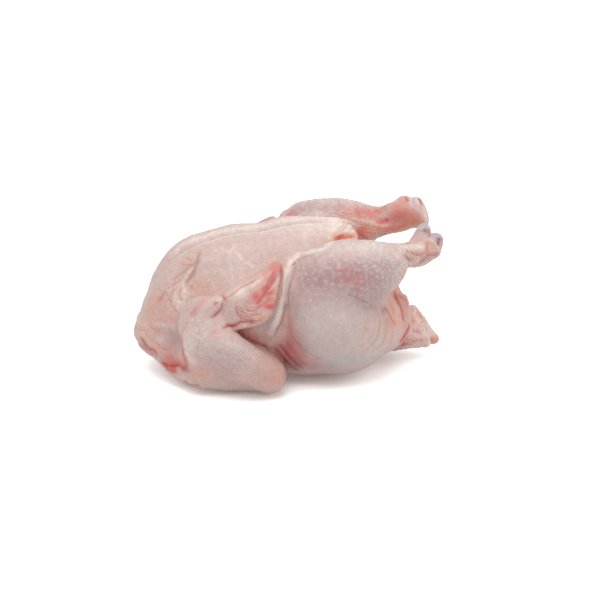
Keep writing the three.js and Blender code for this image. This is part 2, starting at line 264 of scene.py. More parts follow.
class Draped(Form):
    """A flap that lies over another form's right side, and stays clear of the bird's middle."""

    clear: ClassVar[float] = 8
    edge_steps: ClassVar[int] = 3

    def __init__(self, under: Form, outline: Outline, thick: float, soft: float) -> None:
        """Takes the form below, the flap's outline in x and z, its thickness and its edge's roundness."""
        self.under, self.thick, self.soft = under, thick, soft
        self.edge = smoothed(outline, self.edge_steps, closed=True).astype(np.float32)
        (x0, z0), (x1, z1) = self.edge.min(0), self.edge.max(0)
        self.low = np.array([x0, under.low[1] - thick, z0])
        self.high = np.array([x1, -self.clear, z1])

    def __call__(self, at: Array) -> Array:
        """Gives the distance to each point."""
        x, z = at[:, 0], at[:, 2]
        best = np.full(len(at), FAR, np.float32)
        inside = np.zeros(len(at), bool)
        for (ax, az), (bx, bz) in zip(self.edge, np.roll(self.edge, -1, 0)):
            ex, ez, dx, dz = bx - ax, bz - az, x - ax, z - az
            t = np.clip((dx * ex + dz * ez) / max(ex * ex + ez * ez, TINY), 0, 1)
            best = np.minimum(best, (dx - t * ex) ** 2 + (dz - t * ez) ** 2)
            slope = ex / (ez if ez else TINY)
            inside ^= ((az > z) != (bz > z)) & (x < slope * dz + ax)
        rim = np.where(inside, -1, 1) * np.sqrt(best)
        lid = self.under(at) - self.thick
        return np.maximum(-blend(-lid, -rim, self.soft), at[:, 1] + self.clear)


class Grounded(Form):
    """A form pressed flat where it lies on the ground."""

    def __init__(self, body: Form) -> None:
        """Takes the form."""
        self.body = body
        self.low, self.high = body.low, body.high

    def __call__(self, at: Array) -> Array:
        """Gives the distance to each point."""
        return np.maximum(self.body(at), -at[:, 2])


def both_sides(right: Form) -> tuple[Form, Form]:
    """Gives a form and its mirror image."""
    return right, Placed(right, stretch=-1)


# ---------------------------------------------------------------- the skin's mesh


@dataclass(frozen=True)
class Net:
    """Covers a form with even quads: one corner in each lattice cell that the surface crosses.

    A rough look, `coarse` cells apart, shows where the exact one is needed. `probe` and `most` are in cells.
    """

    cell: float = 1.6
    coarse: int = 4
    low: Triple = (-140, -108, -6)
    high: Triple = (146, 108, 142)
    doubt: float = 1.35
    probe: float = 0.15
    least_slope: float = 0.25
    passes: int = 2
    most: float = 0.6
    ground: float = 0.6

    def lattice(self, form: Form) -> Array:
        """Works the form out on the lattice, exactly only near its surface.

        Args:
            form: The form.

        Returns:
            The value at each lattice point, in a three-way array.
        """
        low, block = np.array(self.low), self.coarse
        count = np.ceil((np.array(self.high) - low) / (self.cell * block)).astype(int) * block + 1
        axes = [low[i] + np.arange(0, count[i], block) * self.cell for i in range(3)]
        grid = np.stack(np.meshgrid(*axes, indexing="ij"), -1).reshape(-1, 3).astype(np.float32)
        rough = form(grid).reshape([len(a) for a in axes])
        spread = [(np.arange(n) + block // 2) // block for n in count]
        values = rough[np.ix_(*spread)]
        near = np.argwhere(np.abs(values) < self.cell * block * self.doubt)
        values[tuple(near.T)] = form((low + near * self.cell).astype(np.float32))
        return values

    def cover(self, form: Form) -> tuple[Array, Array]:
        """Builds the quads.

        Args:
            form: The form to cover.

        Returns:
            The corners' places, and four corner numbers for each quad.
        """
        values = self.lattice(form)
        inside = values < 0
        ends = (slice(0, -1), slice(1, None))
        total = sum(inside[ends[a], ends[b], ends[c]].astype(np.int8) for a, b, c in CORNERS)
        crossed = (total > 0) & (total < len(CORNERS))
        cells = np.argwhere(crossed)
        number = np.full(crossed.shape, -1, np.int64)
        number[crossed] = np.arange(len(cells))
        held = {c: values[tuple((cells + c).T)] for c in CORNERS}
        middle = np.zeros((len(cells), 3))
        hits = np.zeros(len(cells))
        for corner, axis in product(CORNERS, range(3)):
            if corner[axis]:
                continue
            other = tuple(1 if i == axis else v for i, v in enumerate(corner))
            a, b = held[corner], held[other]
            cut = (a < 0) != (b < 0)
            point = np.zeros((len(cells), 3)) + corner
            point[:, axis] += np.where(cut, a / np.where(cut, a - b, 1), 0)
            middle += point * cut[:, None]
            hits += cut
        points = np.array(self.low) + (cells + middle / hits[:, None]) * self.cell
        return self.settled(points, form), self.quads(inside, number)

    def quads(self, inside: Array, number: Array) -> Array:
        """Joins the corners round every lattice edge that crosses the surface.

        Args:
            inside: Whether each lattice point is inside.
            number: The corner's number in each cell, or -1.

        Returns:
            Four corner numbers for each quad, facing outwards.
        """
        found = []
        for axis in range(3):
            u, w = (axis + 1) % 3, (axis + 2) % 3
            cut = inside != np.roll(inside, -1, axis)
            edge = np.argwhere(cut[1:-1, 1:-1, 1:-1]) + 1
            ring = []
            for du, dw in ((0, 0), (1, 0), (1, 1), (0, 1)):
                cell = edge.copy()
                cell[:, u] -= du
                cell[:, w] -= dw
                ring.append(number[tuple(cell.T)])
            ring = np.stack(ring, 1)
            outward = ~inside[tuple(edge.T)]
            ring[outward] = ring[outward][:, ::-1]
            found.append(ring)
        quads = np.concatenate(found)
        return quads[(quads >= 0).all(1)]

    def settled(self, points: Array, form: Form) -> Array:
        """Moves each corner along the slope onto the surface.

        Args:
            points: The corners.
            form: The form they belong to.

        Returns:
            Their new places, flat on the ground where they lie on it.
        """
        tips = np.array([[1, 1, 1], [1, -1, -1], [-1, 1, -1], [-1, -1, 1]], float)
        step = self.probe * self.cell
        around = np.stack([form((points + tip * step).astype(np.float32)) for tip in tips])
        slope = np.einsum("kn,kc->nc", around, tips) / (len(tips) * step)
        steep = np.maximum((slope * slope).sum(1), self.least_slope)
        start = points
        value = around.mean(0)
        for _ in range(self.passes):
            points = points - slope * (value / steep)[:, None]
            points = np.clip(points, start - self.cell * self.most, start + self.cell * self.most)
            value = form(points.astype(np.float32))
        points[:, 2] = np.where(points[:, 2] < self.ground, 0, points[:, 2])
        return points


def normals_of(points: Array, quads: Array) -> Array:
    """Gives each corner's normal.

    Args:
        points: The corners' places.
        quads: Four corner numbers for each quad.

    Returns:
        The unit normals.
    """
    a, b, c, d = (points[quads[:, i]] for i in range(4))
    faces = np.cross(c - a, d - b)
    normals = np.zeros_like(points)
    for i, axis in product(range(4), range(3)):
        normals[:, axis] += np.bincount(quads[:, i], faces[:, axis], len(points))
    return normals / np.maximum(np.linalg.norm(normals, axis=1), TINY)[:, None]


@dataclass(frozen=True)
class Unevenness:
    """A smooth random field: seeded values on a lattice, joined smoothly, repeated after `period` bumps."""

    seed: int
    period: int = 32
    start: float = 500.0

    def __call__(self, at: Array, size: float) -> Array:
        """Gives a value from -1 to 1 at each point.

        Args:
            at: The points.
            size: How wide its bumps are.

        Returns:
            The values.
        """
        table = np.random.default_rng(self.seed).uniform(-1, 1, (self.period,) * 3)
        spot = at / size + self.start
        base = np.floor(spot).astype(int)
        part = spot - base
        ease = part * part * (3 - 2 * part)
        total = np.zeros(len(at))
        for corner in CORNERS:
            index = (base + corner) % self.period
            share = np.prod(np.where(corner, ease, 1 - ease), axis=1)
            total += table[tuple(index.T)] * share
        return total


# ---------------------------------------------------------------- relief and paint


class Paint(Enum):
    """What lies in or under the skin. Each is a painted attribute of the mesh, from 0 to 1."""

    # Some marks lay these paints as painted shade in grooves and gaps, or as a partly painted highlight on
    # shiny places.
    PALE = "pale"
    GREY = "grey"
    MAUVE = "mauve"
    BLUSH = "blush"
    FLUSH = "flush"
    MEAT = "meat"
    GRISTLE = "gristle"
    WET = "wet"
    PEBBLE = "pebble"


PALE, GREY, MAUVE, BLUSH, FLUSH, MEAT, GRISTLE, WET, PEBBLE = Paint


class Side(Enum):
    """The bird's two sides, which are alike but not the same."""

    RIGHT = -1
    LEFT = 1


@dataclass(frozen=True)
class Seat:
    """Where a part that is written down for the right side really sits."""

    side: Side = Side.RIGHT
    shift: Triple = (0, 0, 0)

    def __call__(self, point: Triple) -> Triple:
        """Gives the real place of a point of the right side."""
        x, y, z = (a + b for a, b in zip(point, self.shift))
        return (x, -self.side.value * y, z)


class Canvas:
    """The skin's corners, with what is pressed and painted into them.

    `hidden` keeps a path's work off corners that face another way, and relief begins at `foot` above ground.
    """

    line_steps: ClassVar[int] = 5
    hidden: ClassVar[float] = 99
    least_facing: ClassVar[float] = 0.1
    no_seam: ClassVar[float] = 9.0
    seam_width: ClassVar[float] = 2.6
    foot: ClassVar[float] = 0.5
    foot_rise: ClassVar[float] = 4

    def __init__(self, points: Array, quads: Array) -> None:
        """Takes the mesh and starts with bare skin."""
        count = len(points)
        self.points = points
        self.quads = quads
        self.normals = normals_of(points, quads)
        self.tree = BVHTree.FromPolygons(points.tolist(), quads.tolist())
        self.height = np.zeros(count)
        self.paints = {paint: np.zeros(count) for paint in Paint}
        self.phase = np.zeros(count)
        self.folds = np.zeros(count)
        self.seam = np.full(count, self.no_seam)
        self.seam_depth = np.zeros(count)
        self.ragged = Unevenness(seed=11)(points, size=5.0)
        self.halo = np.zeros(count)

    def paint(self, paint: Paint, amount: Array) -> None:
        """Lays a paint over what is there."""
        self.paints[paint] = 1 - (1 - self.paints[paint]) * (1 - np.clip(amount, 0, 1))

    def laid(self, path: Sequence[Triple]) -> tuple[Array, Array]:
        """Lays a path on the skin.

        Args:
            path: Points near the skin.

        Returns:
            A smooth line of points on the skin, and the normals there.
        """
        places, facings = [], []
        for point in smoothed(path, self.line_steps):
            place, facing, _, _ = self.tree.find_nearest(Vector(point))
            places.append(place)
            facings.append(facing)
        return np.array(places), np.array(facings)

    def beside(self, path: Sequence[Triple], reach: float) -> tuple[Array, Array, Array]:
        """Finds the corners beside a path.

        Args:
            path: Points near the skin.
            reach: How far from the path to look.

        Returns:
            The corners' numbers, how far each is from the path, below zero on its other side,
            and how far along it, from 0 to 1.
        """
        line, facing = self.laid(path)
        box = ((self.points > line.min(0) - reach) & (self.points < line.max(0) + reach)).all(1)
        found = np.nonzero(box)[0]
        at, normals = self.points[found], self.normals[found]
        best = np.full(len(found), FAR)
        hand = np.ones(len(found))
        along = np.zeros(len(found))
        for i, (a, b) in enumerate(zip(line[:-1], line[1:])):
            step = b - a
            off = at - a
            t = np.clip(off @ step / max(float(step @ step), TINY), 0, 1)
            gap = off - t[:, None] * step
            gap = np.sqrt((gap * gap).sum(1)) + self.hidden * (normals @ facing[i] < self.least_facing)
            closer = gap < best
            best = np.where(closer, gap, best)
            hand = np.where(closer, np.sign(off @ np.cross(step, facing[i])), hand)
            along = np.where(closer, (i + t) / (len(line) - 1), along)
        kept = best < reach
        return found[kept], (best * np.where(hand < 0, -1, 1))[kept], along[kept]

    def score(self, found: Array, gap: Array, depth: Array) -> None:
        """Notes a sharp line where it is the nearest one.

        Args:
            found: The corners' numbers.
            gap: How far each is from the line, signed.
            depth: How strong the line is there: a groove is below zero.
        """
        nearer = np.abs(gap) < np.abs(self.seam[found])
        rows = found[nearer]
        self.seam[rows] = gap[nearer]
        self.seam_depth[rows] = (depth * np.exp(-((gap / self.seam_width) ** 4)))[nearer]

    def pressed(self) -> Array:
        """Gives the corners moved out and in by the relief, and still flat on the ground."""
        standing = np.clip((self.points[:, 2] - self.foot) / self.foot_rise, 0, 1)
        moved = self.points + self.normals * (self.height * standing)[:, None]
        moved[:, 2] = np.maximum(moved[:, 2], 0)
        return moved


class Mark:
    """Something worked into the skin: a fold, a patch or fine wrinkles."""

    def apply(self, canvas: Canvas, seat: Seat) -> None:
        """Works it into the skin at a seat."""
        raise NotImplementedError


Marks = tuple[Mark, ...]


@dataclass(frozen=True)
class Stroke(Mark):
    """A crease (height below zero) or ridge along a path on the skin.

    `line` is how strong the sharp line in its middle is: painted shade along a crease, and along a ridge a
    pale line that is partly a painted highlight. Each reach counts in widths, apart from the least one, and
    beside a crease the skin rolls up.
    """

    path: tuple[Triple, ...]
    width: float
    height: float = 0.0
    paint: Paint | None = None
    strength: float = 0.0
    line: float = 0.0
    spread: float = 1.6
    reach: ClassVar[float] = 3.4
    paint_reach: ClassVar[float] = 2.4
    least_reach: ClassVar[float] = 4.0
    wander: ClassVar[float] = 0.45
    taper: ClassVar[float] = 6
    roll_at: ClassVar[float] = 2.1
    roll_height: ClassVar[float] = 0.3

    def apply(self, canvas: Canvas, seat: Seat) -> None:
        """Works it into the skin at a seat."""
        path = [seat(point) for point in self.path]
        reach = max(self.width * max(self.reach, self.paint_reach * self.spread), self.least_reach)
        found, signed, along = canvas.beside(path, reach)
        gap = np.abs(signed + self.wander * self.width * canvas.ragged[found])
        taper = np.sqrt(np.clip(np.minimum(along, 1 - along) * self.taper, 0, 1))
        core = np.exp(-((gap / self.width) ** 2))
        beyond = (gap - self.roll_at * self.width) / self.width
        rolls = np.exp(-(beyond**2)) if self.height < 0 else 0
        canvas.height[found] += taper * self.height * (core - self.roll_height * rolls)
        if self.line:
            canvas.score(found, signed, taper * math.copysign(self.line, self.height))
        if self.paint:
            amount = np.zeros(len(canvas.points))
            amount[found] = taper * self.strength * np.exp(-((gap / (self.width * self.spread)) ** 2))
            canvas.paint(self.paint, amount)


@dataclass(frozen=True)
class Patch(Mark):
    """A soft-edged place on the skin with its own paint and height."""

    at: Triple
    size: Triple
    paint: Paint | None = None
    strength: float = 0.0
    height: float = 0.0
    wander: ClassVar[float] = 0.25

    def apply(self, canvas: Canvas, seat: Seat) -> None:
        """Works it into the skin at a seat."""
        off = (canvas.points - seat(self.at)) / self.size
        share = np.exp(-(off * off).sum(1) * (1 + self.wander * canvas.ragged))
        canvas.height += self.height * share
        if self.paint:
            canvas.paint(self.paint, self.strength * share)


class Run(Enum):
    """How the fine folds of a patch run."""

    ACROSS = "across a line"
    FAN = "out from a point"
    RINGS = "round a point"


@dataclass(frozen=True)
class Wrinkles(Mark):
    """Fine folds over a patch of skin, counted from the point `about`. A fan's pitch is in degrees."""

    # The skin's material darkens the low parts of these folds as painted shade.
    at: Triple
    size: Triple
    run: Run
    about: Triple
    pitch: float
    depth: float = 1.0
    way: Triple = (1, 0, 0)
    edge: ClassVar[float] = 1.5

    def apply(self, canvas: Canvas, seat: Seat) -> None:
        """Works them into the skin at a seat."""
        flip = np.array([1, -seat.side.value, 1])
        own = canvas.points * flip - seat.shift
        off = (own - self.at) / self.size
        share = self.depth * np.exp(-((off * off).sum(1) ** self.edge))
        arm = own - self.about
        if self.run is Run.ACROSS:
            cycles = arm @ (np.array(self.way) / np.linalg.norm(self.way)) / self.pitch
        elif self.run is Run.FAN:
            cycles = np.degrees(np.arctan2(arm[:, 2], arm[:, 0])) / self.pitch
        else:
            cycles = np.linalg.norm(arm, axis=1) / self.pitch
        stronger = share > canvas.folds
        canvas.folds = np.where(stronger, share, canvas.folds)
        canvas.phase = np.where(stronger, cycles, canvas.phase)


# ---------------------------------------------------------------- each part's marks

# All are written down for the right side, with z from the ground. A seat moves them to where they are.

BREAST_MARKS: Marks = (
    Patch((30, -8, 130), (50, 24, 16), PALE, 0.5),
    Patch((-60, -6, 120), (46, 14, 16), PALE, 0.25),
    # A small pale patch on the breast: a painted highlight of wet sheen.
    Patch((12.4, -28.8, 123.8), (2.6, 9, 7), PALE, 0.45),
    Patch((49, -14, 126), (18, 16, 11), PALE, 0.9),
    Patch((58, -13, 122), (5, 9, 7), PALE, 0.6),
    Stroke(((-102, -9, 98), (-89, -9, 108), (-71, -9, 116), (-50, -9, 120), (-17, -9, 124), (28, -9, 127),
        (52, -9, 127)), 2.6, 0.6, PALE, 0.6, 0.3),
    # Mauve along the groove between the breast halves: painted shade in the valley.
    Stroke(((-96, 4, 100), (-79, 3, 111), (-61, 2, 116), (-33, 1, 120), (3, 0, 122), (39, 0, 125)), 3.2, -0.6,
        MAUVE, 0.3, 0.0, 1.8),
    Stroke(((-46, -28, 119), (-50, -33, 116), (-52, -37, 111), (-52, -42, 105), (-52, -47, 97),
        (-52, -52, 91)), 0.9, 0.25, PALE, 0.2, 0.25),
    Stroke(((-48, -34, 115), (-45, -38, 112), (-42, -41, 108), (-38, -43, 105), (-32, -46, 102)), 1.0, 0.3,
        PALE, 0.25, 0.25),
    Stroke(((-59, -28, 117), (-57, -32, 115), (-51, -36, 113)), 1.1, 0.3, PALE, 0.2, 0.15),
    Stroke(((64, 38, 115), (50, -13, 126), (44, -20, 124), (37, -26, 122), (33, -30, 121)), 1.2, -0.9, BLUSH,
        0.15, 0.45),
    Stroke(((56, 10, 124), (47, -13, 127), (41, -20, 125)), 1.1, -0.7, BLUSH, 0.12, 0.4),
    Stroke(((67, 37, 111), (53, -19, 124), (48, -23, 123), (42, -27, 121)), 1.2, -0.7, BLUSH, 0.15, 0.4),
    Stroke(((22, 3, 127), (23, -10, 129), (26, -14, 128)), 1.3, -0.3, MAUVE, 0.15, 0.12),
    Stroke(((40, 40, 123), (40, 9, 128), (45, 7, 128), (50, 7, 127), (56, 12, 124), (65, 38, 114),
        (67, 37, 110)), 1.8, 0.7, PALE, 0.6, 0.0, 1.4),
)

SHOULDER_MARKS: Marks = (
    Patch((-111, -38, 62), (18, 20, 12), BLUSH, 0.16),
    Patch((-76, -47, 87), (18, 14, 7), BLUSH, 0.28),
    Patch((-95, -41, 80), (9, 12, 12), PALE, 0.45),
    Patch((-117, -33, 49), (9, 10, 6), FLUSH, 0.14),
    Patch((-103, -44, 61), (9, 12, 6), BLUSH, 0.2),
    Patch((-121, -25, 60), (9, 14, 16), BLUSH, 0.25),
    Patch((-111, -32, 73), (12, 14, 9), FLUSH, 0.1),
    Patch((-112, -38, 51), (16, 16, 14), PEBBLE, 0.8),
    Patch((-103, -46, 41), (12, 14, 12), MAUVE, 0.55),
    Patch((-107, -49, 30), (14, 14, 6), FLUSH, 0.16),
    Patch((-95, -44, 75), (5, 8, 5), PALE, 0.5),
    Patch((-111, -32, 75), (3.4, 6, 3.4), FLUSH, 0.22),
    Stroke(((-77, -24, 113), (-78, -29, 109), (-80, -33, 104), (-82, -36, 99), (-85, -38, 94),
        (-90, -39, 88)), 1.7, -1.0, MAUVE, 0.5, 0.45),
    Stroke(((-81, -33, 103), (-84, -31, 106), (-89, -24, 107)), 1.2, -0.5, BLUSH, 0.25, 0.3),
    Stroke(((-81, -34, 103), (-87, -32, 103), (-93, -27, 102)), 1.2, -0.45, BLUSH, 0.25, 0.3),
    Stroke(((-82, -34, 102), (-88, -33, 100), (-94, -33, 95), (-101, -32, 90)), 1.3, -0.5, MAUVE, 0.25, 0.3),
    Stroke(((-87, -34, 99), (-93, -37, 93), (-99, -35, 87), (-106, -32, 82)), 1.3, -0.5, BLUSH, 0.25, 0.3),
    Stroke(((-84, -34, 101), (-88, -37, 97), (-92, -39, 92), (-94, -40, 88)), 1.5, 0.8, PALE, 0.4, 0.15),
    Stroke(((-89, -38, 95), (-92, -40, 89), (-92, -43, 84), (-94, -43, 77)), 1.4, 0.8, PALE, 0.5, 0.3),
    Stroke(((-93, -40, 88), (-95, -40, 82), (-95, -43, 78), (-93, -45, 75)), 1.0, -0.4, BLUSH, 0.3, 0.25),
    Stroke(((-97, -39, 84), (-100, -37, 82), (-102, -38, 78), (-103, -39, 74)), 1.0, -0.4, BLUSH, 0.3, 0.25),
    Stroke(((-106, -33, 80), (-108, -32, 78), (-110, -32, 75), (-113, -31, 71)), 1.1, -0.4, FLUSH, 0.28, 0.3,
        1.4),
    Stroke(((-86, -42, 88), (-85, -44, 86), (-85, -45, 84)), 1.2, -0.4, BLUSH, 0.3, 0.25),
    Stroke(((-122, -26, 50), (-118, -33, 48), (-112, -38, 47)), 1.3, -0.4, FLUSH, 0.25, 0.2, 1.3),
    Stroke(((-125, -22, 46), (-116, -34, 52), (-107, -42, 53), (-99, -47, 53)), 1.5, 0.5, PALE, 0.3, 0.1),
    Wrinkles((-92, -40, 84), (15, 18, 18), Run.FAN, (-80, -36, 104), 13.0, 0.35),
    Wrinkles((-110, -36, 62), (14, 20, 22), Run.ACROSS, (-108, -34, 58), 5.0, 0.25, (0.5, 0, 1)),
)

NECK_MARKS: Marks = (
    Stroke(((-114, -43, 23), (-108, -47, 23), (-102, -54, 24), (-97, -66, 28), (-92, -76, 27)), 3.6, -0.6,
        FLUSH, 0.75, 0.0, 1.3),
    Stroke(((-113, -43, 21), (-109, -47, 20), (-105, -53, 21), (-99, -62, 25), (-94, -74, 26)), 1.5, -1.3,
        FLUSH, 1.0, 0.7, 1.3),
    Stroke(((-110, -46, 19), (-107, -50, 17), (-104, -55, 17), (-100, -59, 19)), 1.4, -0.6, FLUSH, 0.9, 0.5,
        1.4),
    Patch((-94.3, -73.2, 26.1), (5, 7, 3), MEAT, 0.45),
    Patch((-104.9, -49.9, 23.2), (2.6, 4, 1.8), PALE, 0.6, 1.0),
    Patch((-100.6, -57.4, 26.8), (2.4, 4, 1.6), PALE, 0.5, 1.0),
    Patch((-96.6, -69, 26.9), (2.4, 4, 1.6), PALE, 0.5, 0.9),
    Patch((-109.9, -44.9, 24.1), (2.4, 4, 1.6), PALE, 0.35, 0.9),
    Patch((-102, -52, 13), (14, 14, 5), BLUSH, 0.35),
    Patch((-98, -55, 10), (18, 18, 7), PALE, 0.5),
    Patch((-132, -15, 38), (7, 16, 12), MAUVE, 0.25),
    Patch((-130, -16, 44), (6, 12, 6), PALE, 0.4, 0.6),
    Stroke(((-128, -23, 38), (-126, -27, 35), (-122, -32, 31), (-118, -38, 30), (-115, -41, 26)), 1.5, -1.0,
        FLUSH, 0.6, 0.7),
    Stroke(((-127, -25, 32), (-123, -31, 28), (-117, -37, 25)), 1.4, -0.8, FLUSH, 0.4, 0.5),
    Stroke(((-125, -26, 42), (-120, -35, 38), (-113, -43, 35), (-106, -48, 33)), 1.8, -0.6, BLUSH, 0.3, 0.3),
    Stroke(((-95, -51, 5), (-88, -70, 10), (-82, -75, 11)), 1.6, -0.6, FLUSH, 0.6, 0.4),
    Stroke(((-119, -33, 27), (-124, -20, 30), (-127, -8, 31), (-127, 8, 31)), 2.0, -1.0, FLUSH, 0.45, 0.5,
        1.4),
    Stroke(((-121, -28, 45), (-125, -16, 41), (-128, -4, 40), (-127, 10, 41)), 2.4, -0.8, BLUSH, 0.3, 0.4,
        1.5),
    Stroke(((-117, -38, 20), (-121, -24, 18), (-124, -8, 17), (-124, 8, 17)), 2.0, -0.8, MAUVE, 0.35, 0.4,
        1.4),
    Wrinkles((-104, -56, 24), (16, 18, 10), Run.ACROSS, (-104, -56, 24), 3.2, 0.6, (1, 0, 0.3)),
)

LIP_MARKS: Marks = (
    Stroke(((44, -27, 119), (25, -65, 125), (14, -61, 121), (7, -48, 113), (0, -49, 107), (-6, -53, 100),
        (-9, -58, 93), (-12, -64, 83), (-14, -69, 73)), 3.0, 0.7, PALE, 0.9, 0.0, 1.35),
    Stroke(((-10, -64, 84), (-12, -67, 78), (-15, -70, 70), (-18, -71, 63), (-21, -72, 56)), 3.0, 0.5, PALE,
        0.55, 0.0, 1.35),
    Stroke(((16, -68, 120), (10, -63, 116), (4, -56, 112), (0, -59, 106), (-3, -64, 99), (-6, -66, 92),
        (-8, -66, 83), (-9, -67, 74), (-11, -68, 66), (-14, -70, 58), (-17, -70, 53), (-18, -68, 46)), 1.3,
        -0.8, MAUVE, 0.4, 0.35, 1.4),
    Stroke(((3, -46, 111), (-2, -50, 105), (-6, -58, 99), (-8, -63, 91), (-10, -65, 83)), 1.0, 0.3, PALE, 0.5,
        0.35),
    Patch((-25, -70, 56), (7, 9, 9), GREY, 0.5),
    Patch((-40, -68, 58), (8, 6, 3.5), FLUSH, 0.3, 1.5),
    Patch((-26, -71, 52), (8, 6, 3.5), FLUSH, 0.3, 1.2),
    Wrinkles((-32, -70, 58), (12, 14, 12), Run.ACROSS, (-32, -70, 58), 4.2, 0.2, (1, 0, 0.35)),
)

DRUM_MARKS: Marks = (
    Stroke(((48, -23, 121), (41, -28, 119), (35, -32, 118), (28, -36, 117), (21, -40, 117)), 1.6, -0.6, BLUSH,
        1.0, 0.4, 1.3),
    Patch((20, -58, 124), (16, 12, 9), height=-2.6),
    Stroke(((52, -21, 121), (47, -24, 121), (41, -27, 121), (36, -28, 121), (31, -30, 121)), 2.2, 0.5, PALE,
        0.7, 0.0, 1.3),
    Patch((67, -84, 108), (9, 12, 12), MAUVE, 0.35),
    Patch((64, -87, 102), (12, 12, 10), GREY, 0.3),
    Stroke(((103, -40, 46), (100, -43, 42)), 1.5, -0.6, BLUSH, 1.0, 0.0, 1.3),
    Stroke(((102, -41, 42), (98, -45, 38), (94, -47, 33), (91, -47, 30)), 1.6, -0.6, FLUSH, 0.9, 0.3, 1.3),
    Stroke(((47, -24, 121), (37, -29, 120)), 1.0, -0.3, FLUSH, 0.4, 0.3, 1.3),
    Patch((56, -88, 99), (24, 16, 24), MAUVE, 0.75),
    Patch((64, -85, 92), (20, 16, 22), GREY, 0.5),
    Patch((17, -84, 103), (26, 16, 16), MAUVE, 0.35),
    Stroke(((58, -18, 118), (52, -22, 120), (47, -25, 120), (41, -28, 120), (36, -30, 120)), 2.1, -0.8, BLUSH,
        1.0, 0.3, 1.4),
    Patch((46.6, -25.1, 119.9), (9, 7, 2.4), BLUSH, 0.5),
    Stroke(((56, -23, 119), (50, -24, 120), (44, -26, 120), (39, -29, 120)), 1.3, -0.4, FLUSH, 0.6, 0.4, 1.5),
    Stroke(((-1, -70, 97), (11, -80, 102), (26, -86, 106), (39, -89, 105), (54, -89, 99), (63, -85, 89)),
        12.5, 0.0, MAUVE, 0.85, 0.0, 1.0),
    Stroke(((64, -85, 92), (65, -79, 81), (60, -79, 71)), 8.0, 0.0, MAUVE, 0.6, 0.0, 1.0),
    Stroke(((31, -86, 110), (42, -89, 105), (54, -88, 96)), 6.5, 0.0, FLUSH, 0.27, 0.0, 1.1),
    Patch((72, -84, 101), (14, 14, 18), GREY, 0.4),
    Patch((23, -81, 114), (14, 14, 10), GREY, 0.15),
    # Pale patches on the drumstick's top: partly paler skin, partly a painted highlight where it shines.
    Patch((49, -73, 124), (24, 14, 7), PALE, 0.4),
    Patch((63, -74, 122), (14, 12, 7), PALE, 0.6),
    Patch((64, -76, 121), (14, 12, 8), WET, 1.0),
    Patch((36, -72, 124), (20, 12, 8), WET, 0.5),
    Patch((56, -87, 108), (30, 18, 24), PEBBLE, 1.0),
    Patch((23, -82, 112), (30, 18, 20), PEBBLE, 0.6),
    Stroke(((39, -88, 90), (45, -86, 86), (53, -83, 82), (58, -81, 79)), 1.5, -0.7, MAUVE, 0.5, 0.35),
    Stroke(((48, -84, 81), (54, -81, 76), (59, -79, 70)), 1.4, -0.4, MAUVE, 0.3, 0.2),
    Patch((91, -68, 116), (10, 12, 10), PALE, 0.3),
    Wrinkles((88, -64, 108), (20, 24, 20), Run.ACROSS, (90, -60, 112), 2.7, 0.95, (0.8, 0.1, 0.6)),
    Patch((87, -75, 103), (8, 16, 7), height=-3.0),
)

FAR_DRUM_MARKS: Marks = (
    Stroke(((7, -56, 121), (19, -51, 127), (34, -47, 128), (50, -44, 127), (62, -42, 124)), 12.0, 0.0, MAUVE,
        0.75, 0.0, 1.0),
    Patch((10, -52, 122), (5, 8, 4), FLUSH, 0.35),
    Patch((43, -58, 132), (40, 12, 5), PALE, 0.35),
    Patch((67, -44, 124), (14, 10, 8), FLUSH, 0.35),
    Patch((63, -40, 121), (14, 10, 7), BLUSH, 0.4),
    Stroke(((68, -44, 124), (76, -46, 123), (84, -49, 122), (92, -52, 122)), 5.0, 0.0, FLUSH, 0.5, 0.0, 1.1),
    Stroke(((78, -44, 120), (86, -48, 120), (91, -52, 123)), 3.0, 0.0, BLUSH, 0.6, 0.0, 1.2),
    Patch((71.5, -40.8, 118), (6, 8, 2.4), MAUVE, 0.6),
    Patch((75, -38, 106), (13, 9, 10), BLUSH, 0.7),
    Patch((-13, -44, 120), (9, 8, 5), FLUSH, 0.4),
    Patch((73, -37, 105), (10, 9, 8), FLUSH, 0.25),
    Stroke(((70, -38, 111), (76, -38, 106), (74, -37, 102)), 7.0, 0.0, BLUSH, 0.9, 0.0, 1.1),
    Stroke(((71, -38, 111), (73, -38, 107), (73, -37, 101)), 4.0, 0.0, FLUSH, 0.6, 0.0, 1.2),
    Stroke(((78, -39, 108), (90, -41, 107), (102, -44, 104), (113, -44, 108), (122, -43, 112)), 4.5, 0.0,
        BLUSH, 0.7, 0.0, 1.2),
    Stroke(((94, -42, 107), (106, -44, 107), (117, -44, 110)), 2.6, 0.0, FLUSH, 0.4, 0.0, 1.3),
    Stroke(((64, -40, 120), (67, -39, 118), (75, -40, 115), (85, -42, 112), (94, -42, 110), (102, -43, 110)),
        2.0, 0.9, PALE, 0.55, 0.2, 1.4),
    Stroke(((87, -49, 121), (93, -53, 123), (99, -56, 126), (104, -57, 128)), 1.4, -0.5, FLUSH, 0.4, 0.4),
    Stroke(((90, -48, 119), (95, -50, 122), (99, -51, 125)), 1.2, -0.4, FLUSH, 0.3, 0.35),
    Patch((49, -46, 128), (34, 16, 14), PEBBLE, 1.0),
    Wrinkles((88, -50, 112), (17, 22, 16), Run.ACROSS, (90, -60, 112), 3.0, 0.5, (0.8, 0.1, -0.5)),
)

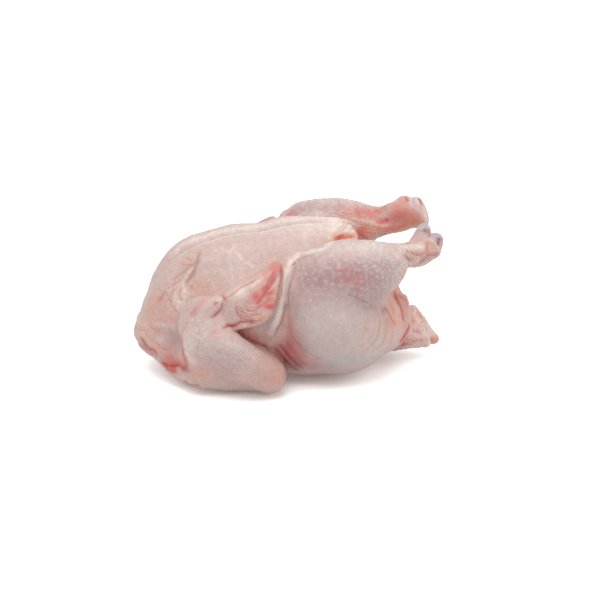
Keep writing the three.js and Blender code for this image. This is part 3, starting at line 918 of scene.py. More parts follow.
THIGH_MARKS: Marks = (
    Patch((-6, -69, 82), (9, 14, 16), MAUVE, 0.35),
    Patch((-1, -76, 68), (9, 12, 14), GREY, 0.35),
    Patch((-9, -64, 87), (4, 7, 9), PALE, 0.6),
    Patch((-8, -69, 62), (5, 12, 9), FLUSH, 0.14),
    Patch((-7, -70, 55), (7, 12, 12), FLUSH, 0.2),
    Patch((-2, -75, 44), (12, 14, 12), MAUVE, 0.5),
    Patch((-11, -67, 33), (11, 14, 9), MEAT, 0.22),
    Patch((-7, -70, 37), (9, 10, 11), FLUSH, 0.4),
    Patch((-2, -68, 23), (11, 12, 6), MEAT, 0.4),
    Wrinkles((-5, -80, 42), (15, 16, 15), Run.ACROSS, (-5, -80, 42), 2.3, 0.5, (0.7, 0, 0.6)),
    Patch((-1, -71, 27), (14, 16, 8), FLUSH, 0.35),
    Patch((13, -72, 22), (22, 18, 7), MAUVE, 0.55),
    Patch((36, -80, 26), (40, 22, 10), GREY, 0.7),
    Patch((14, -87, 55), (34, 18, 30), GREY, 0.4),
    Patch((11, -86, 61), (8, 10, 6), PALE, 0.2),
    Patch((38, -86, 71), (20, 12, 10), PALE, 0.3),
    Patch((66, -80, 45), (20, 16, 18), PALE, 0.55),
    Patch((58, -83, 40), (30, 20, 14), GREY, 0.3),
    Stroke(((-7, -70, 51), (-3, -74, 44), (4, -76, 34), (14, -75, 26), (23, -74, 21)), 2.2, -0.25, FLUSH,
        0.16),
    Stroke(((-11, -68, 47), (-7, -69, 39), (0, -72, 30), (8, -71, 23)), 2.2, -0.25, MAUVE, 0.4, 0.12),
    Stroke(((-14, -67, 42), (-11, -67, 34), (-4, -69, 27), (4, -69, 21)), 2.2, -0.25, MEAT, 0.12, 0.1),
    Stroke(((-3, -74, 46), (4, -78, 40), (13, -80, 34), (22, -81, 30)), 1.6, -0.4, MAUVE, 0.3, 0.2),
    Stroke(((74, -70, 69), (69, -74, 66), (64, -78, 64), (58, -82, 63), (51, -85, 62)), 2.2, -0.5, MAUVE,
        0.15),
    Stroke(((58, -83, 58), (54, -85, 53), (49, -86, 49)), 1.1, -0.3, BLUSH, 0.2, 0.15),
    Stroke(((55, -84, 59), (53, -85, 57)), 1.1, -0.3, BLUSH, 0.2, 0.15),
    Stroke(((63, -81, 61), (62, -82, 55), (58, -84, 48), (52, -85, 44), (46, -86, 42)), 1.1, -0.3, BLUSH,
        0.15, 0.1),
    Stroke(((68, -78, 62), (68, -80, 54), (64, -81, 45), (58, -83, 40), (51, -84, 36)), 1.1, -0.3, BLUSH, 0.2,
        0.25),
    Stroke(((73, -74, 62), (75, -75, 53), (72, -76, 43), (66, -78, 35)), 1.1, -0.3, BLUSH, 0.2, 0.25),
    Stroke(((78, -71, 59), (82, -68, 49), (80, -68, 39), (75, -65, 28)), 1.1, -0.3, BLUSH, 0.2, 0.25),
    Wrinkles((72, -80, 53), (17, 16, 24), Run.RINGS, (21, -88, 74), 2.7, 0.7),
)

FLAP_MARKS: Marks = (
    Patch((81, -62, 65), (8, 16, 16), BLUSH, 0.45),
    Patch((90, -49, 62), (7, 16, 16), BLUSH, 0.45),
    Patch((98, -41, 61), (6, 14, 16), BLUSH, 0.5),
    Patch((89, -50, 62), (15, 16, 18), PALE, 0.8),
    Patch((80, -70, 54), (12, 14, 16), BLUSH, 0.12),
    Patch((88, -58, 52), (10, 14, 8), BLUSH, 0.35),
    Patch((87.8, -44.8, 72.9), (3.2, 7, 3), BLUSH, 1.0, 0.6),
    Patch((98, -35, 67), (6, 14, 7), height=2.4),
    Patch((73.3, -70.3, 69.2), (2.6, 7, 2.6), MEAT, 0.3, -0.5),
    Stroke(((87, -44, 75), (88, -46, 71), (91, -47, 66), (93, -47, 61), (94, -47, 55), (95, -48, 49)), 1.2,
        -0.7, FLUSH, 0.5, 0.65, 1.3),
    Stroke(((85, -47, 74), (88, -48, 69), (90, -49, 65)), 1.1, -0.4, FLUSH, 0.35, 0.4, 1.3),
    Stroke(((90, -43, 73), (94, -42, 69), (97, -40, 64), (99, -41, 60)), 1.2, -0.5, FLUSH, 0.3, 0.4, 1.3),
    Stroke(((92, -42, 73), (97, -36, 68), (100, -34, 63), (101, -38, 60)), 1.3, 0.6, PALE, 0.4, 0.2, 1.3),
    Stroke(((80, -58, 74), (81, -59, 70), (83, -60, 66), (84, -62, 62)), 1.1, -0.5, BLUSH, 0.6, 0.4, 1.3),
    Stroke(((75, -69, 71), (77, -69, 66), (81, -68, 59), (85, -64, 52)), 1.2, -0.6, FLUSH, 0.35, 0.45, 1.3),
    Stroke(((72, -71, 69), (73, -74, 65), (77, -72, 58)), 1.1, -0.4, BLUSH, 0.3, 0.3, 1.3),
    Stroke(((84, -53, 71), (85, -55, 67), (87, -57, 60), (89, -56, 53)), 1.8, 0.6, PALE, 0.25, 0.0, 1.3),
    Stroke(((103, -40, 44), (101, -42, 41), (99, -44, 38)), 2.0, -1.2, FLUSH, 0.9, 0.5, 1.4),
    Stroke(((110, -15, 40), (109, -18, 38)), 2.2, 0.0, BLUSH, 0.9, 0.0, 1.4),
    Stroke(((99, -44, 38), (97, -45, 35), (95, -45, 31), (93, -45, 29)), 1.6, -0.9, FLUSH, 0.7, 0.5, 1.4),
    Wrinkles((92, -50, 56), (9, 18, 20), Run.ACROSS, (90, -50, 58), 3.0, 0.45, (0.85, 0.5, 0.12)),
)

HOCK_MARKS: Marks = (
    Patch((111, -45, 133), (7.5, 8, 4.6), GRISTLE, 1.0),
    Patch((116, -46, 130), (4, 6, 3.4), GRISTLE, 0.7),
    Patch((121, -57, 128), (6, 7, 4.6), GRISTLE, 1.0),
    Patch((124, -58, 124), (4, 6, 5), GRISTLE, 0.7),
    Patch((111, -44, 133), (8, 8, 5), WET, 1.0),
    Patch((122, -57, 128), (7, 8, 5.5), WET, 1.0),
    Patch((111.1, -47.6, 129.5), (2.6, 5, 1.5), MEAT, 0.8, -1.0),
    Patch((115.4, -47.9, 127.2), (2.3, 5, 2.3), FLUSH, 1.0),
    Patch((113.3, -56.5, 127.5), (1.5, 3, 1), MEAT, 0.6),
    Patch((121.2, -60.2, 125), (2.2, 5, 1.7), MEAT, 0.8, -0.9),
    Patch((117.6, -43.4, 128.2), (1.8, 4, 1.8), PALE, 0.6),
    Patch((123.8, -59.1, 122.6), (2, 4, 1.2), PALE, 0.6),
    Patch((100.1, -65.2, 114.5), (5, 8, 2.4), BLUSH, 0.35),
    Patch((106, -63, 121), (16, 14, 15), MAUVE, 0.22),
    Patch((110, -60, 124), (13, 14, 12), FLUSH, 0.12),
    Patch((113.6, -64.3, 119.3), (3, 6, 4), BLUSH, 0.3),
    Patch((96, -67, 109), (15, 15, 12), PALE, 0.85),
    Patch((100.7, -41.6, 121.4), (3, 8, 6), MAUVE, 0.5),
    Patch((96, -64, 104), (12, 12, 6), BLUSH, 0.2),
    Patch((124.7, -54.9, 114.4), (3, 6, 6), PALE, 0.4),
    Patch((101.6, -64.6, 119.4), (7, 8, 2.6), WET, 1.0),
    Patch((97, -67, 113), (14, 14, 10), WET, 0.6),
    # The pale tendon strip: partly its own pale colour, partly a painted highlight where it shines.
    Patch((100.6, -64.6, 119.2), (9, 8, 2.6), PALE, 0.9),
    Stroke(((105, -41, 128), (107, -44, 130), (109, -47, 130), (111, -48, 128)), 0.9, 0.5, PALE, 0.6, 0.5,
        1.3),
    Stroke(((111, -48, 128), (111, -54, 127), (112, -58, 126)), 1.0, -0.5, PALE, 0.4, 0.3, 1.3),
    Stroke(((120, -61, 124), (120, -62, 122), (120, -62, 120)), 1.1, -1.1, FLUSH, 0.9, 0.9, 1.4),
    Stroke(((112, -60, 125), (115, -61, 124), (118, -62, 121), (119, -63, 118), (119, -64, 115)), 1.1, 0.7,
        PALE, 0.55, 0.4, 1.3),
    Stroke(((111, -60, 124), (110, -64, 121), (110, -65, 118), (109, -66, 114)), 1.2, -0.8, BLUSH, 0.5, 0.5,
        1.3),
    # Pale tendon ridge, partly a painted highlight.
    Stroke(((86, -65, 121), (91, -64, 120), (98, -64, 119), (105, -65, 119), (108, -65, 117)), 1.8, 0.8, PALE,
        0.5, 0.0, 1.3),
    Stroke(((90, -67, 117), (96, -66, 116), (100, -66, 114), (104, -66, 114), (109, -65, 116)), 1.2, -0.9,
        BLUSH, 0.4, 0.45, 1.3),
    Stroke(((91, -68, 115), (94, -68, 112), (98, -66, 109)), 1.1, -0.9, MAUVE, 0.4, 0.5, 1.3),
    Stroke(((88, -69, 117), (92, -69, 112), (96, -67, 109)), 1.1, -0.7, BLUSH, 0.4, 0.4, 1.3),
    Stroke(((103, -65, 107), (106, -66, 109), (109, -66, 112), (113, -66, 113), (120, -63, 113)), 1.2, -1.0,
        FLUSH, 0.4, 0.6, 1.3),
    Stroke(((99, -64, 103), (103, -65, 106), (108, -66, 109), (114, -64, 111)), 1.2, -0.6, MAUVE, 0.3, 0.3,
        1.3),
    Stroke(((118, -63, 119), (118, -64, 116), (120, -64, 114)), 1.1, -0.7, BLUSH, 0.5, 0.5, 1.3),
    Stroke(((103, -41, 126), (101, -41, 122), (96, -55, 122), (93, -60, 122)), 1.6, -0.3, MAUVE, 0.5, 0.2,
        1.3),
)

FAR_HOCK_MARKS: Marks = (
    Patch((133, -52, 123), (8, 8, 10), PALE, 0.6),
    Patch((124, -51, 132), (5, 7, 5), PALE, 0.7),
    Patch((130, -55.9, 128.5), (2.8, 5, 4.6), MEAT, 0.3, -2.6),
    Patch((130.4, -56.2, 127.9), (3, 5, 4), FLUSH, 0.6),
    Patch((130, -56, 128), (3.2, 5, 5.2), MAUVE, 1.0),
    Stroke(((126, -60, 132), (122, -50, 131), (123, -44, 127), (128, -42, 124), (132, -47, 119)), 1.6, 0.0,
        GRISTLE, 0.75, 0.0, 1.3),
    Stroke(((123, -61, 132), (120, -51, 131), (121, -45, 127), (127, -41, 123), (133, -48, 117),
        (137, -52, 113)), 1.5, 0.5, PALE, 0.9, 0.3, 1.3),
    Stroke(((117, -58, 133), (117, -54, 132), (118, -50, 130)), 1.5, -0.7, FLUSH, 0.75, 0.5, 1.3),
    Patch((113, -46, 125), (9, 9, 7), FLUSH, 0.3),
    Patch((110, -46, 122), (14, 9, 10), MAUVE, 0.2),
    Patch((106, -47, 124), (8, 8, 6), FLUSH, 0.45),
    Patch((106, -44, 116), (10, 9, 6), FLUSH, 0.4),
    Patch((107, -44, 116), (9, 9, 6), MAUVE, 0.45),
    Patch((123, -41, 118), (10, 9, 9), BLUSH, 0.62),
    Patch((119, -44, 112), (12, 9, 6), BLUSH, 0.6),
    Patch((117, -43, 114), (14, 9, 8), FLUSH, 0.18),
    Patch((97.4, -45.8, 115.1), (2, 4, 1.8), FLUSH, 1.0),
    Patch((97.4, -45.8, 115.1), (1.3, 3, 1.2), MEAT, 0.5),
    Patch((94.3, -44.7, 113.8), (4.6, 6, 2.4), FLUSH, 0.75),
    Patch((91.1, -43.5, 112.5), (4, 6, 1.6), FLUSH, 0.5),
    Patch((112, -53, 130), (9, 8, 4), BLUSH, 0.3),
    Stroke(((99, -56, 126), (104, -57, 128), (110, -55, 130)), 1.4, 0.4, PALE, 0.4, 0.2),
)

TAIL_MARKS: Marks = (
    Patch((117, -14, 39), (12, 16, 12), PALE, 0.75),
    Patch((112, -6, 44), (6, 12, 5), PALE, 0.7),
    Patch((129, -9, 24), (7, 12, 8), PALE, 0.5),
    Patch((119, -15, 31), (26, 26, 22), PALE, 0.7),
    # The tail's underside painted paler: partly its pale fat, partly painted light that lifts the shade
    # beneath it.
    Patch((109, -21, 24), (14, 22, 8), PALE, 0.9),
    Patch((110, -21, 21), (14, 22, 6), BLUSH, 0.2),
    Patch((133, -7, 16), (6, 8, 5), FLUSH, 0.4),
    Patch((133, -7, 16), (6, 8, 5), BLUSH, 0.5),
    Patch((118, -15, 36), (26, 26, 22), BLUSH, 0.22),
    Patch((106, -21, 20), (13, 16, 6), FLUSH, 0.22),
    # Painted light on the tail's shaded underside, partly its pale fat.
    Patch((109, -17, 16), (16, 22, 6), PALE, 1.0),
    Patch((114, -3, 44), (4.5, 10, 4), PALE, 0.5, 1.8),
    Patch((118, -7.6, 40.7), (2.4, 6, 2.4), height=1.2),
    Patch((122.1, -11.6, 34.5), (2.4, 6, 2.4), height=0.9),
    Patch((120.9, -14.6, 14.8), (4, 6, 3), FLUSH, 0.4),
    Patch((100, -22, 20), (8, 14, 5), FLUSH, 0.75),
    Patch((117, -15, 36), (18, 20, 18), PEBBLE, 1.0),
    Patch((115.6, -7.8, 42), (1.6, 6, 1.4), BLUSH, 0.7, -0.6),
    Patch((118.3, -8.8, 39.9), (1.6, 6, 1.6), BLUSH, 0.8, -0.6),
    Patch((116.4, -16.2, 35.5), (1.8, 6, 1.6), BLUSH, 0.7, -0.6),
    Patch((121, -11.5, 36), (1.4, 6, 1.4), BLUSH, 0.6, -0.5),
    Patch((123.2, -12.5, 30), (1.8, 6, 1.6), BLUSH, 0.5, -0.5),
    Patch((112.5, -19.7, 32.2), (1.8, 6, 1.6), BLUSH, 0.6, -0.5),
    Stroke(((106, -22, 22), (113, -20, 21), (120, -16, 20), (126, -13, 18)), 1.5, -0.6, BLUSH, 0.4, 0.4),
    Stroke(((108, -22, 31), (113, -21, 30), (118, -18, 27)), 1.4, -0.6, BLUSH, 0.45, 0.4),
    Stroke(((128, -10, 21), (129, -8, 17), (128, -9, 15)), 1.3, -0.7, FLUSH, 0.4, 0.5),
)

HAND_MARKS: Marks = (
    Patch((-54, -68, 82), (4, 6, 4), GREY, 0.35),
    Patch((-38.8, -66.6, 89.1), (3.5, 5, 3), GREY, 0.4),
    Patch((-47, -67, 87), (11, 8, 6), PALE, 0.55),
    Patch((-44, -70, 82), (8, 8, 7), GREY, 0.2),
    Patch((-14, -54, 105), (6, 9, 6), FLUSH, 0.35),
    Patch((-14, -54, 105), (6, 9, 6), BLUSH, 0.25),
    Patch((-16, -56, 103), (4, 8, 5), FLUSH, 0.45),
    Patch((-22, -62, 97), (5, 9, 6), FLUSH, 0.42),
    Patch((-27, -67, 90), (5.5, 9, 5), FLUSH, 0.5),
    Patch((-34, -69, 85), (4.2, 8, 3.6), FLUSH, 0.8),
    Patch((-35, -71, 83), (8, 9, 5.5), FLUSH, 0.45),
    Patch((-42, -71, 80), (6, 8, 5), FLUSH, 0.25),
    Patch((-23.2, -74.2, 76.5), (4.2, 8, 2.2), FLUSH, 0.95),
    Patch((-26.2, -73.5, 78.2), (5, 8, 2.6), FLUSH, 0.5),
    Patch((-21, -69, 86), (6, 9, 9), BLUSH, 0.45),
    Patch((-32, -77, 68), (9, 8, 4), BLUSH, 0.35),
    Patch((-39, -75, 70), (9, 8, 6), PALE, 0.25),
    Stroke(((-59, -65, 82), (-54, -65, 85), (-50, -64, 89), (-43, -62, 92), (-37, -61, 94), (-32, -59, 97)),
        1.1, -0.7, BLUSH, 0.5, 0.4, 1.3),
    Stroke(((-32, -59, 97), (-26, -57, 101), (-20, -52, 104), (-16, -50, 107), (-13, -49, 107)), 1.3, -0.4,
        BLUSH, 0.4, 0.15, 1.3),
    Stroke(((-56, -68, 82), (-51, -67, 85), (-46, -66, 89), (-39, -65, 92), (-32, -63, 95), (-26, -59, 99)),
        1.6, 0.4, PALE, 0.55, 0.0, 1.3),
    Stroke(((-11, -51, 106), (-11, -56, 102), (-12, -60, 97), (-14, -64, 91), (-16, -69, 84), (-18, -72, 79),
        (-21, -74, 75)), 1.1, -0.5, FLUSH, 0.5, 0.45, 1.3),
    Stroke(((-13, -57, 102), (-14, -61, 96), (-16, -66, 91), (-18, -70, 84), (-20, -73, 79)), 1.6, 0.3, PALE,
        0.3, 0.0, 1.3),
    Stroke(((-15, -59, 100), (-18, -62, 96), (-22, -64, 91), (-25, -67, 88), (-29, -70, 84), (-33, -72, 80),
        (-35, -72, 79)), 0.9, -0.5, FLUSH, 0.75, 0.5),
    Stroke(((-17, -56, 103), (-19, -59, 99), (-23, -63, 95), (-26, -66, 91), (-30, -68, 88)), 0.8, -0.4,
        FLUSH, 0.5, 0.5, 1.4),
    Stroke(((-14, -61, 98), (-17, -64, 94), (-20, -66, 90), (-24, -69, 86)), 0.8, 0.4, PALE, 0.3, 0.3, 1.3),
    Stroke(((-26, -70, 84), (-22, -69, 86), (-17, -69, 86)), 0.9, -0.5, FLUSH, 0.35, 0.4),
    Stroke(((-27, -72, 82), (-22, -71, 83), (-18, -71, 83)), 0.9, -0.5, FLUSH, 0.35, 0.4),
    Stroke(((-28, -73, 80), (-24, -72, 81), (-19, -72, 81)), 0.9, -0.5, FLUSH, 0.35, 0.4),
    Stroke(((-25, -69, 86), (-21, -68, 88), (-16, -67, 88)), 0.9, -0.4, FLUSH, 0.3, 0.35),
    Stroke(((-50, -70, 79), (-51, -72, 76), (-50, -73, 72), (-48, -75, 69), (-45, -75, 68), (-41, -76, 67),
        (-36, -77, 66), (-31, -77, 68)), 1.0, -0.5, FLUSH, 0.35, 0.5),
    Stroke(((-47, -72, 78), (-47, -73, 74), (-44, -75, 71), (-40, -75, 70), (-35, -76, 71), (-29, -76, 72)),
        1.0, -0.5, FLUSH, 0.3, 0.45),
    Stroke(((-44, -73, 77), (-41, -74, 74), (-37, -74, 74), (-33, -74, 76), (-30, -73, 79)), 1.0, -0.5, FLUSH,
        0.3, 0.45),
    Stroke(((-61, -81, 65), (-56, -76, 62), (-51, -74, 63), (-48, -75, 65), (-41, -76, 65), (-35, -77, 66)),
        1.2, -0.9, FLUSH, 0.6, 0.8, 1.3),
    Stroke(((-53, -77, 60), (-48, -76, 60), (-41, -77, 62), (-34, -78, 65), (-30, -77, 67)), 2.0, 0.5, PALE,
        0.5, 0.0, 1.3),
    Stroke(((-55, -81, 61), (-46, -67, 56), (-39, -68, 58), (-32, -77, 64), (-26, -77, 68), (-22, -74, 73)),
        1.2, 0.0, BLUSH, 0.35, 0.0, 1.3),
    Wrinkles((-44, -74, 72), (13, 12, 8), Run.RINGS, (-38, -78, 92), 2.4, 0.5),
)

ARM_MARKS: Marks = (
    Patch((-83, -81, 79), (13, 14, 9), MAUVE, 0.28),
    Patch((-83, -89, 65), (16, 16, 18), PALE, 0.15),
    Patch((-90, -83, 50), (6, 10, 16), PALE, 0.35),
    Patch((-85, -89, 58), (18, 16, 26), PEBBLE, 0.7),
    Patch((-53, -98, 43), (30, 14, 12), GREY, 0.42),
    Patch((-66, -93, 33), (26, 14, 10), MAUVE, 0.3),
    Patch((-81, -80, 23), (11, 12, 6), BLUSH, 0.35),
    Patch((-70, -90, 62), (5, 8, 4), FLUSH, 0.22),
    Patch((-36, -95, 39), (22, 14, 9), BLUSH, 0.18),
    Patch((-18, -93, 22), (11, 12, 10), BLUSH, 0.4),
    Patch((-25, -96, 29), (18, 14, 14), MAUVE, 0.4),
    Patch((-41, -98, 22), (22, 14, 5), BLUSH, 0.2),
    Patch((-78, -78, 85), (4, 8, 4), FLUSH, 0.2),
    Patch((-85.7, -80.9, 77.9), (1.6, 4, 2.2), FLUSH, 0.35),
    Patch((-87.5, -81.5, 75.7), (1.4, 4, 1.8), FLUSH, 0.3),
    Patch((-82.9, -79.8, 81.1), (1.4, 4, 1.4), FLUSH, 0.4),
    Patch((-79.8, -79.3, 83), (1.3, 4, 1.3), FLUSH, 0.35),
    Patch((-61, -63.8, 82.9), (2.4, 5, 2.4), FLUSH, 0.75),
    Patch((-64.1, -76.7, 85.6), (3, 6, 3), PALE, 0.4, 0.5),
    Stroke(((-67, -79, 84), (-68, -80, 84), (-70, -80, 82)), 1.0, -0.6, FLUSH, 0.4, 0.6),
    Stroke(((-60, -64, 83), (-62, -76, 83), (-63, -77, 80), (-65, -78, 77), (-69, -81, 74), (-74, -84, 72)),
        1.4, -1.3, FLUSH, 0.5, 0.8, 1.3),
    Stroke(((-77, -75, 86), (-85, -79, 80), (-91, -82, 72), (-95, -82, 63), (-96, -76, 54)), 1.6, -0.2, FLUSH,
        0.18, 0.1, 1.4),
    # Red line at the gap between the wing's edge and the shoulder: partly painted shade in the gap.
    Stroke(((-96, -79, 58), (-96, -72, 48), (-96, -73, 41), (-94, -75, 35), (-92, -77, 26)), 1.7, -0.4, FLUSH,
        0.45, 0.5, 1.3),
    Stroke(((-93, -84, 64), (-94, -81, 53), (-92, -77, 44), (-89, -78, 36), (-85, -79, 30)), 1.6, 0.5, PALE,
        0.45, 0.1),
    Stroke(((-64, -87, 64), (-57, -77, 63), (-51, -75, 63)), 1.2, -0.8, FLUSH, 0.5, 0.6),
    Stroke(((-75, -94, 50), (-67, -96, 47), (-56, -98, 42), (-46, -99, 35)), 1.6, -0.4, GREY, 0.25, 0.2),
    Stroke(((-79, -89, 44), (-70, -94, 38), (-61, -94, 31), (-53, -95, 25)), 1.6, -0.4, MAUVE, 0.25, 0.2),
    Stroke(((-65, -94, 56), (-54, -94, 52), (-43, -94, 45), (-32, -95, 36)), 1.8, 0.3, PALE, 0.3),
    Stroke(((-54, -84, 59), (-44, -67, 49), (-36, -67, 44), (-27, -67, 38), (-20, -71, 33), (-14, -79, 29),
        (-7, -56, 12)), 1.8, 0.3, BLUSH, 0.35, 0.0, 1.5),
    # Red in the gap under the forearm, and a dark line of painted shade where the forearm lies against the
    # flank.
    Stroke(((-50, -75, 58), (-44, -67, 52), (-37, -67, 49), (-31, -67, 45), (-24, -66, 40)), 3.0, 0.0, FLUSH,
        0.55, 0.0, 1.3),
    Stroke(((-55, -83, 60), (-49, -68, 53), (-44, -67, 49), (-37, -67, 45), (-28, -66, 40), (-22, -67, 35)),
        1.6, -0.3, MEAT, 0.75, 0.2, 1.2),
    Stroke(((-23, -66, 38), (-17, -66, 32), (-12, -66, 25), (-5, -60, 15)), 5.0, 0.0, MEAT, 0.2, 0.0, 1.3),
    Stroke(((-19, -66, 38), (-13, -65, 29), (-5, -65, 20), (5, -61, 13)), 1.3, -0.6, MEAT, 0.25, 0.4),
    Stroke(((-17, -67, 41), (-9, -67, 32), (-2, -69, 24), (7, -66, 16)), 1.3, -0.6, MAUVE, 0.3, 0.35),
    Patch((-11, -67, 32), (10, 12, 12), FLUSH, 0.3),
    Patch((-29, -69, 49), (12, 12, 8), PALE, 0.35),
    Wrinkles((-52, -92, 42), (36, 16, 16), Run.ACROSS, (-50, -90, 40), 2.3, 0.45, (0.55, 0, -0.83)),
    Wrinkles((-90, -80, 52), (9, 16, 24), Run.ACROSS, (-90, -80, 58), 2.6, 0.22, (0.2, 0, 1)),
)

HOLLOW_MARKS: Marks = (
    Patch((50, 0, 64), (52, 36, 34), MEAT, 0.5),
    Patch((50, 0, 64), (58, 38, 36), FLUSH, 1.0),
    Patch((50, 0, 64), (58, 38, 36), WET, 1.0),
    Patch((50, 0, 64), (50, 36, 34), PEBBLE, 1.0),
    Patch((92, -20, 50), (10, 10, 14), PALE, 0.5),
    Patch((92, 20, 50), (10, 10, 14), PALE, 0.5),
    Stroke(((60, -22, 96), (70, -26, 82), (82, -27, 68), (94, -22, 54)), 3.0, 0.8, PALE, 0.5),
    Stroke(((60, 22, 96), (70, 26, 82), (82, 27, 68), (94, 22, 54)), 3.0, 0.8, PALE, 0.5),
    Wrinkles((50, 0, 64), (56, 44, 40), Run.ACROSS, (60, 0, 60), 10.0, 1.6, (1, 0, 0.35)),
)

FAR_MARKS: Marks = (
    Patch((-80, -22, 105), (40, 14, 14), height=2.0),
    Patch((-122, -20, 70), (12, 20, 16), height=-1.4),
    Patch((-6, -46, 121), (13, 6, 7), FLUSH, 0.8),
    Patch((4, -45, 119), (6, 8, 6), FLUSH, 0.5),
)


# ---------------------------------------------------------------- the bird's parts


@dataclass(frozen=True)
class Trunk:
    """Ribs, back and neck end under the skin, with the two breast muscles on top."""

    ribs: Form = Lump((-25, 0, 56), (96, 69, 55))
    back: Form = Lump((6, 0, 34), (86, 50, 36))
    neck_end: Form = Lump((-94, 0, 43.5), (33, 43, 33.5), (0, 12, 0))
    shoulder: Form = Lump((-82, -39, 18), (26, 26, 17))
    collar: tuple[Station, ...] = (
        (-103, -33, 29, 15), (-116, -14, 34, 15), (-119, 0, 35, 14), (-116, 14, 34, 15), (-103, 33, 29, 15),
    )
    muscle: tuple[tuple[Triple, Triple], ...] = (
        ((-28, 17, 66), (90, 36, 57.5)),
        ((12, 15, 81), (46, 31, 47)),
        ((43, 10, 99), (36, 21, 28.5)),
    )
    muscle_end: Triple = (61.5, 0, 112)
    muscle_slant: Triple = (1, 0, 0.12)

    def breast_half(self, side: Side) -> Form:
        """Builds one breast muscle."""
        return Joined(14, *(Lump((x, side.value * y, z), size) for (x, y, z), size in self.muscle))

    def form(self) -> Form:
        """Builds the trunk."""
        halves = Joined(5, self.breast_half(Side.RIGHT), self.breast_half(Side.LEFT))
        breast = Trimmed(halves, self.muscle_end, self.muscle_slant, 10)
        skin = Joined(9, Limb(*self.collar, curved=True), Joined(16, *both_sides(self.shoulder)))
        return Joined(9, Joined(16, self.ribs, self.back, self.neck_end), skin, breast)

    def marks(self) -> Marks:
        """Gives the folds and blood of breast, shoulder and neck end."""
        return BREAST_MARKS + SHOULDER_MARKS + NECK_MARKS


@dataclass(frozen=True)
class SkinLip:
    """The rolled edge of the breast's skin where it was cut in front of the leg.

    `line` is its places in x and z. `looks` looks from `outside` to `inside` find the trunk there in y.
    """

    line: Outline = (
        (55, 115), (46, 113.5), (31, 114), (15, 112), (4.8, 109), (-2.5, 103),
        (-7.2, 95), (-10.1, 87.5), (-13.2, 78.6), (-15.5, 69), (-19.3, 60.7), (-24, 50),
    )
    radius: float = 3.0
    thinner: tuple[tuple[int, float], ...] = ((0, 0.5), (10, 0.5), (11, 1.5))
    outside: float = -115
    inside: float = -2
    looks: int = 120

    def form(self, trunk: Form) -> Form:
        """Builds it on the trunk's right side.

        Args:
            trunk: The form that carries it.

        Returns:
            The rod along the line, half sunk in the trunk.
        """
        sweep = np.linspace(self.outside, self.inside, self.looks).astype(np.float32)
        thinner = dict(self.thinner)
        stations = []
        for i, (x, z) in enumerate(self.line):
            values = trunk(np.stack([np.full_like(sweep, x), sweep, np.full_like(sweep, z)], 1))
            hit = int(np.argmax(values < 0))
            ends = [hit, hit - 1]
            y = float(np.interp(0, values[ends], sweep[ends])) if hit else self.inside
            stations.append((x, y, z, self.radius - thinner.get(i, 0)))
        return Limb(*stations, curved=True)

    def marks(self) -> Marks:
        """Gives the lip's pale roll and the folds beside it."""
        return LIP_MARKS


@dataclass(frozen=True)
class Leg:
    """Thigh, drumstick and hock, built on the right side. The two sides differ below the thigh."""

    drum: Form
    hock: Form
    drum_marks: Marks
    hock_marks: Marks
    thigh: tuple[Form, ...] = (
        Lump((40, -43, 49), (51, 44, 43.5), (0, -10, 0)),
        Lump((21, -56, 64), (30, 31, 38)),
        Lump((3, -37, 31.5), (34, 30, 26)),
        Limb(
            (87, -36, 85, 2.5), (89, -36, 77, 3.5), (89, -35, 67, 6.5), (94, -34, 55, 9), (93, -35, 42, 11),
            (84, -36, 33, 12), curved=True,
        ),
    )

    def form(self) -> Form:
        """Builds the whole leg."""
        return Joined(5, Joined(12, self.drum, Joined(14, *self.thigh)), self.hock)

    def marks(self) -> Marks:
        """Gives the leg's folds, blood and scales."""
        return self.drum_marks + THIGH_MARKS + FLAP_MARKS + self.hock_marks


def right_leg() -> Leg:
    """Gives the leg whose knuckles are bared."""
    drum = Limb(
        (13, -57, 88, 20), (29, -60, 97.5, 27.5), (50, -61, 98.5, 28), (70, -60, 101.5, 22.5),
        (84, -58, 108.5, 13.5), (94, -56.5, 111.5, 10.5), (103, -54, 112.5, 11.5), curved=True,
    )
    head = Lump((111, -52, 115), (15, 12, 11.5), (0, -24, 0))
    inner = Limb((106, -43, 118, 7), (112, -41.5, 128, 6.8))
    outer = Limb((114, -53, 116, 6), (119, -54, 122.8, 7))
    heel = Limb((100, -58, 106.5, 4.5), (118, -60, 113.5, 4))
    return Leg(drum, Joined(4, head, Joined(2, inner, outer), heel), DRUM_MARKS, HOCK_MARKS)


def left_leg() -> Leg:
    """Gives the leg that ends in a flat cut."""
    drum = Limb(
        (10, -57, 94.5, 21.5), (28, -60.5, 102, 28), (48, -61, 104.5, 28), (68, -60, 107.5, 22),
        (84, -59, 111, 14.5), (96, -58, 113, 11.5), (108, -57, 115, 12), curved=True,
    )
    bone = Joined(4, Limb((108, -57, 115.5, 12), (130, -55, 118.5, 14.5)), Lump((116, -60, 125.5), (8, 8, 8)))
    head = Trimmed(bone, (133, -55, 123), (0.86, 0.35, 0.37), 3)
    calf = Limb((50, -46, 94, 14), (82, -49, 104, 9), (112, -53, 110, 8), curved=True)
    return Leg(drum, Joined(7, calf, head), FAR_DRUM_MARKS, FAR_HOCK_MARKS)


@dataclass(frozen=True)
class Tail:
    """The fleshy tail: a flat wedge with a ridge on top and a nub at each side of its tip."""

    wedge: tuple[Station, ...] = ((92, 0, 28, 20), (108, 0, 27, 17.5), (122, 0, 21, 9.5), (133.5, 0, 15.5, 4))
    spread: float = 1.3
    ridge: Form = Lump((113, 0, 33), (10, 13, 8.5), (0, 30, 0))
    nub: Form = Limb((117, -10, 18, 6), (124.5, -11, 15, 3))

    def form(self) -> Form:
        """Builds it."""
        wedge = Placed(Limb(*self.wedge, curved=True), stretch=self.spread)
        return Joined(5, wedge, self.ridge, Joined(3, *both_sides(self.nub)))

    def marks(self) -> Marks:
        """Gives the tail's pits, fat and red root."""
        return TAIL_MARKS


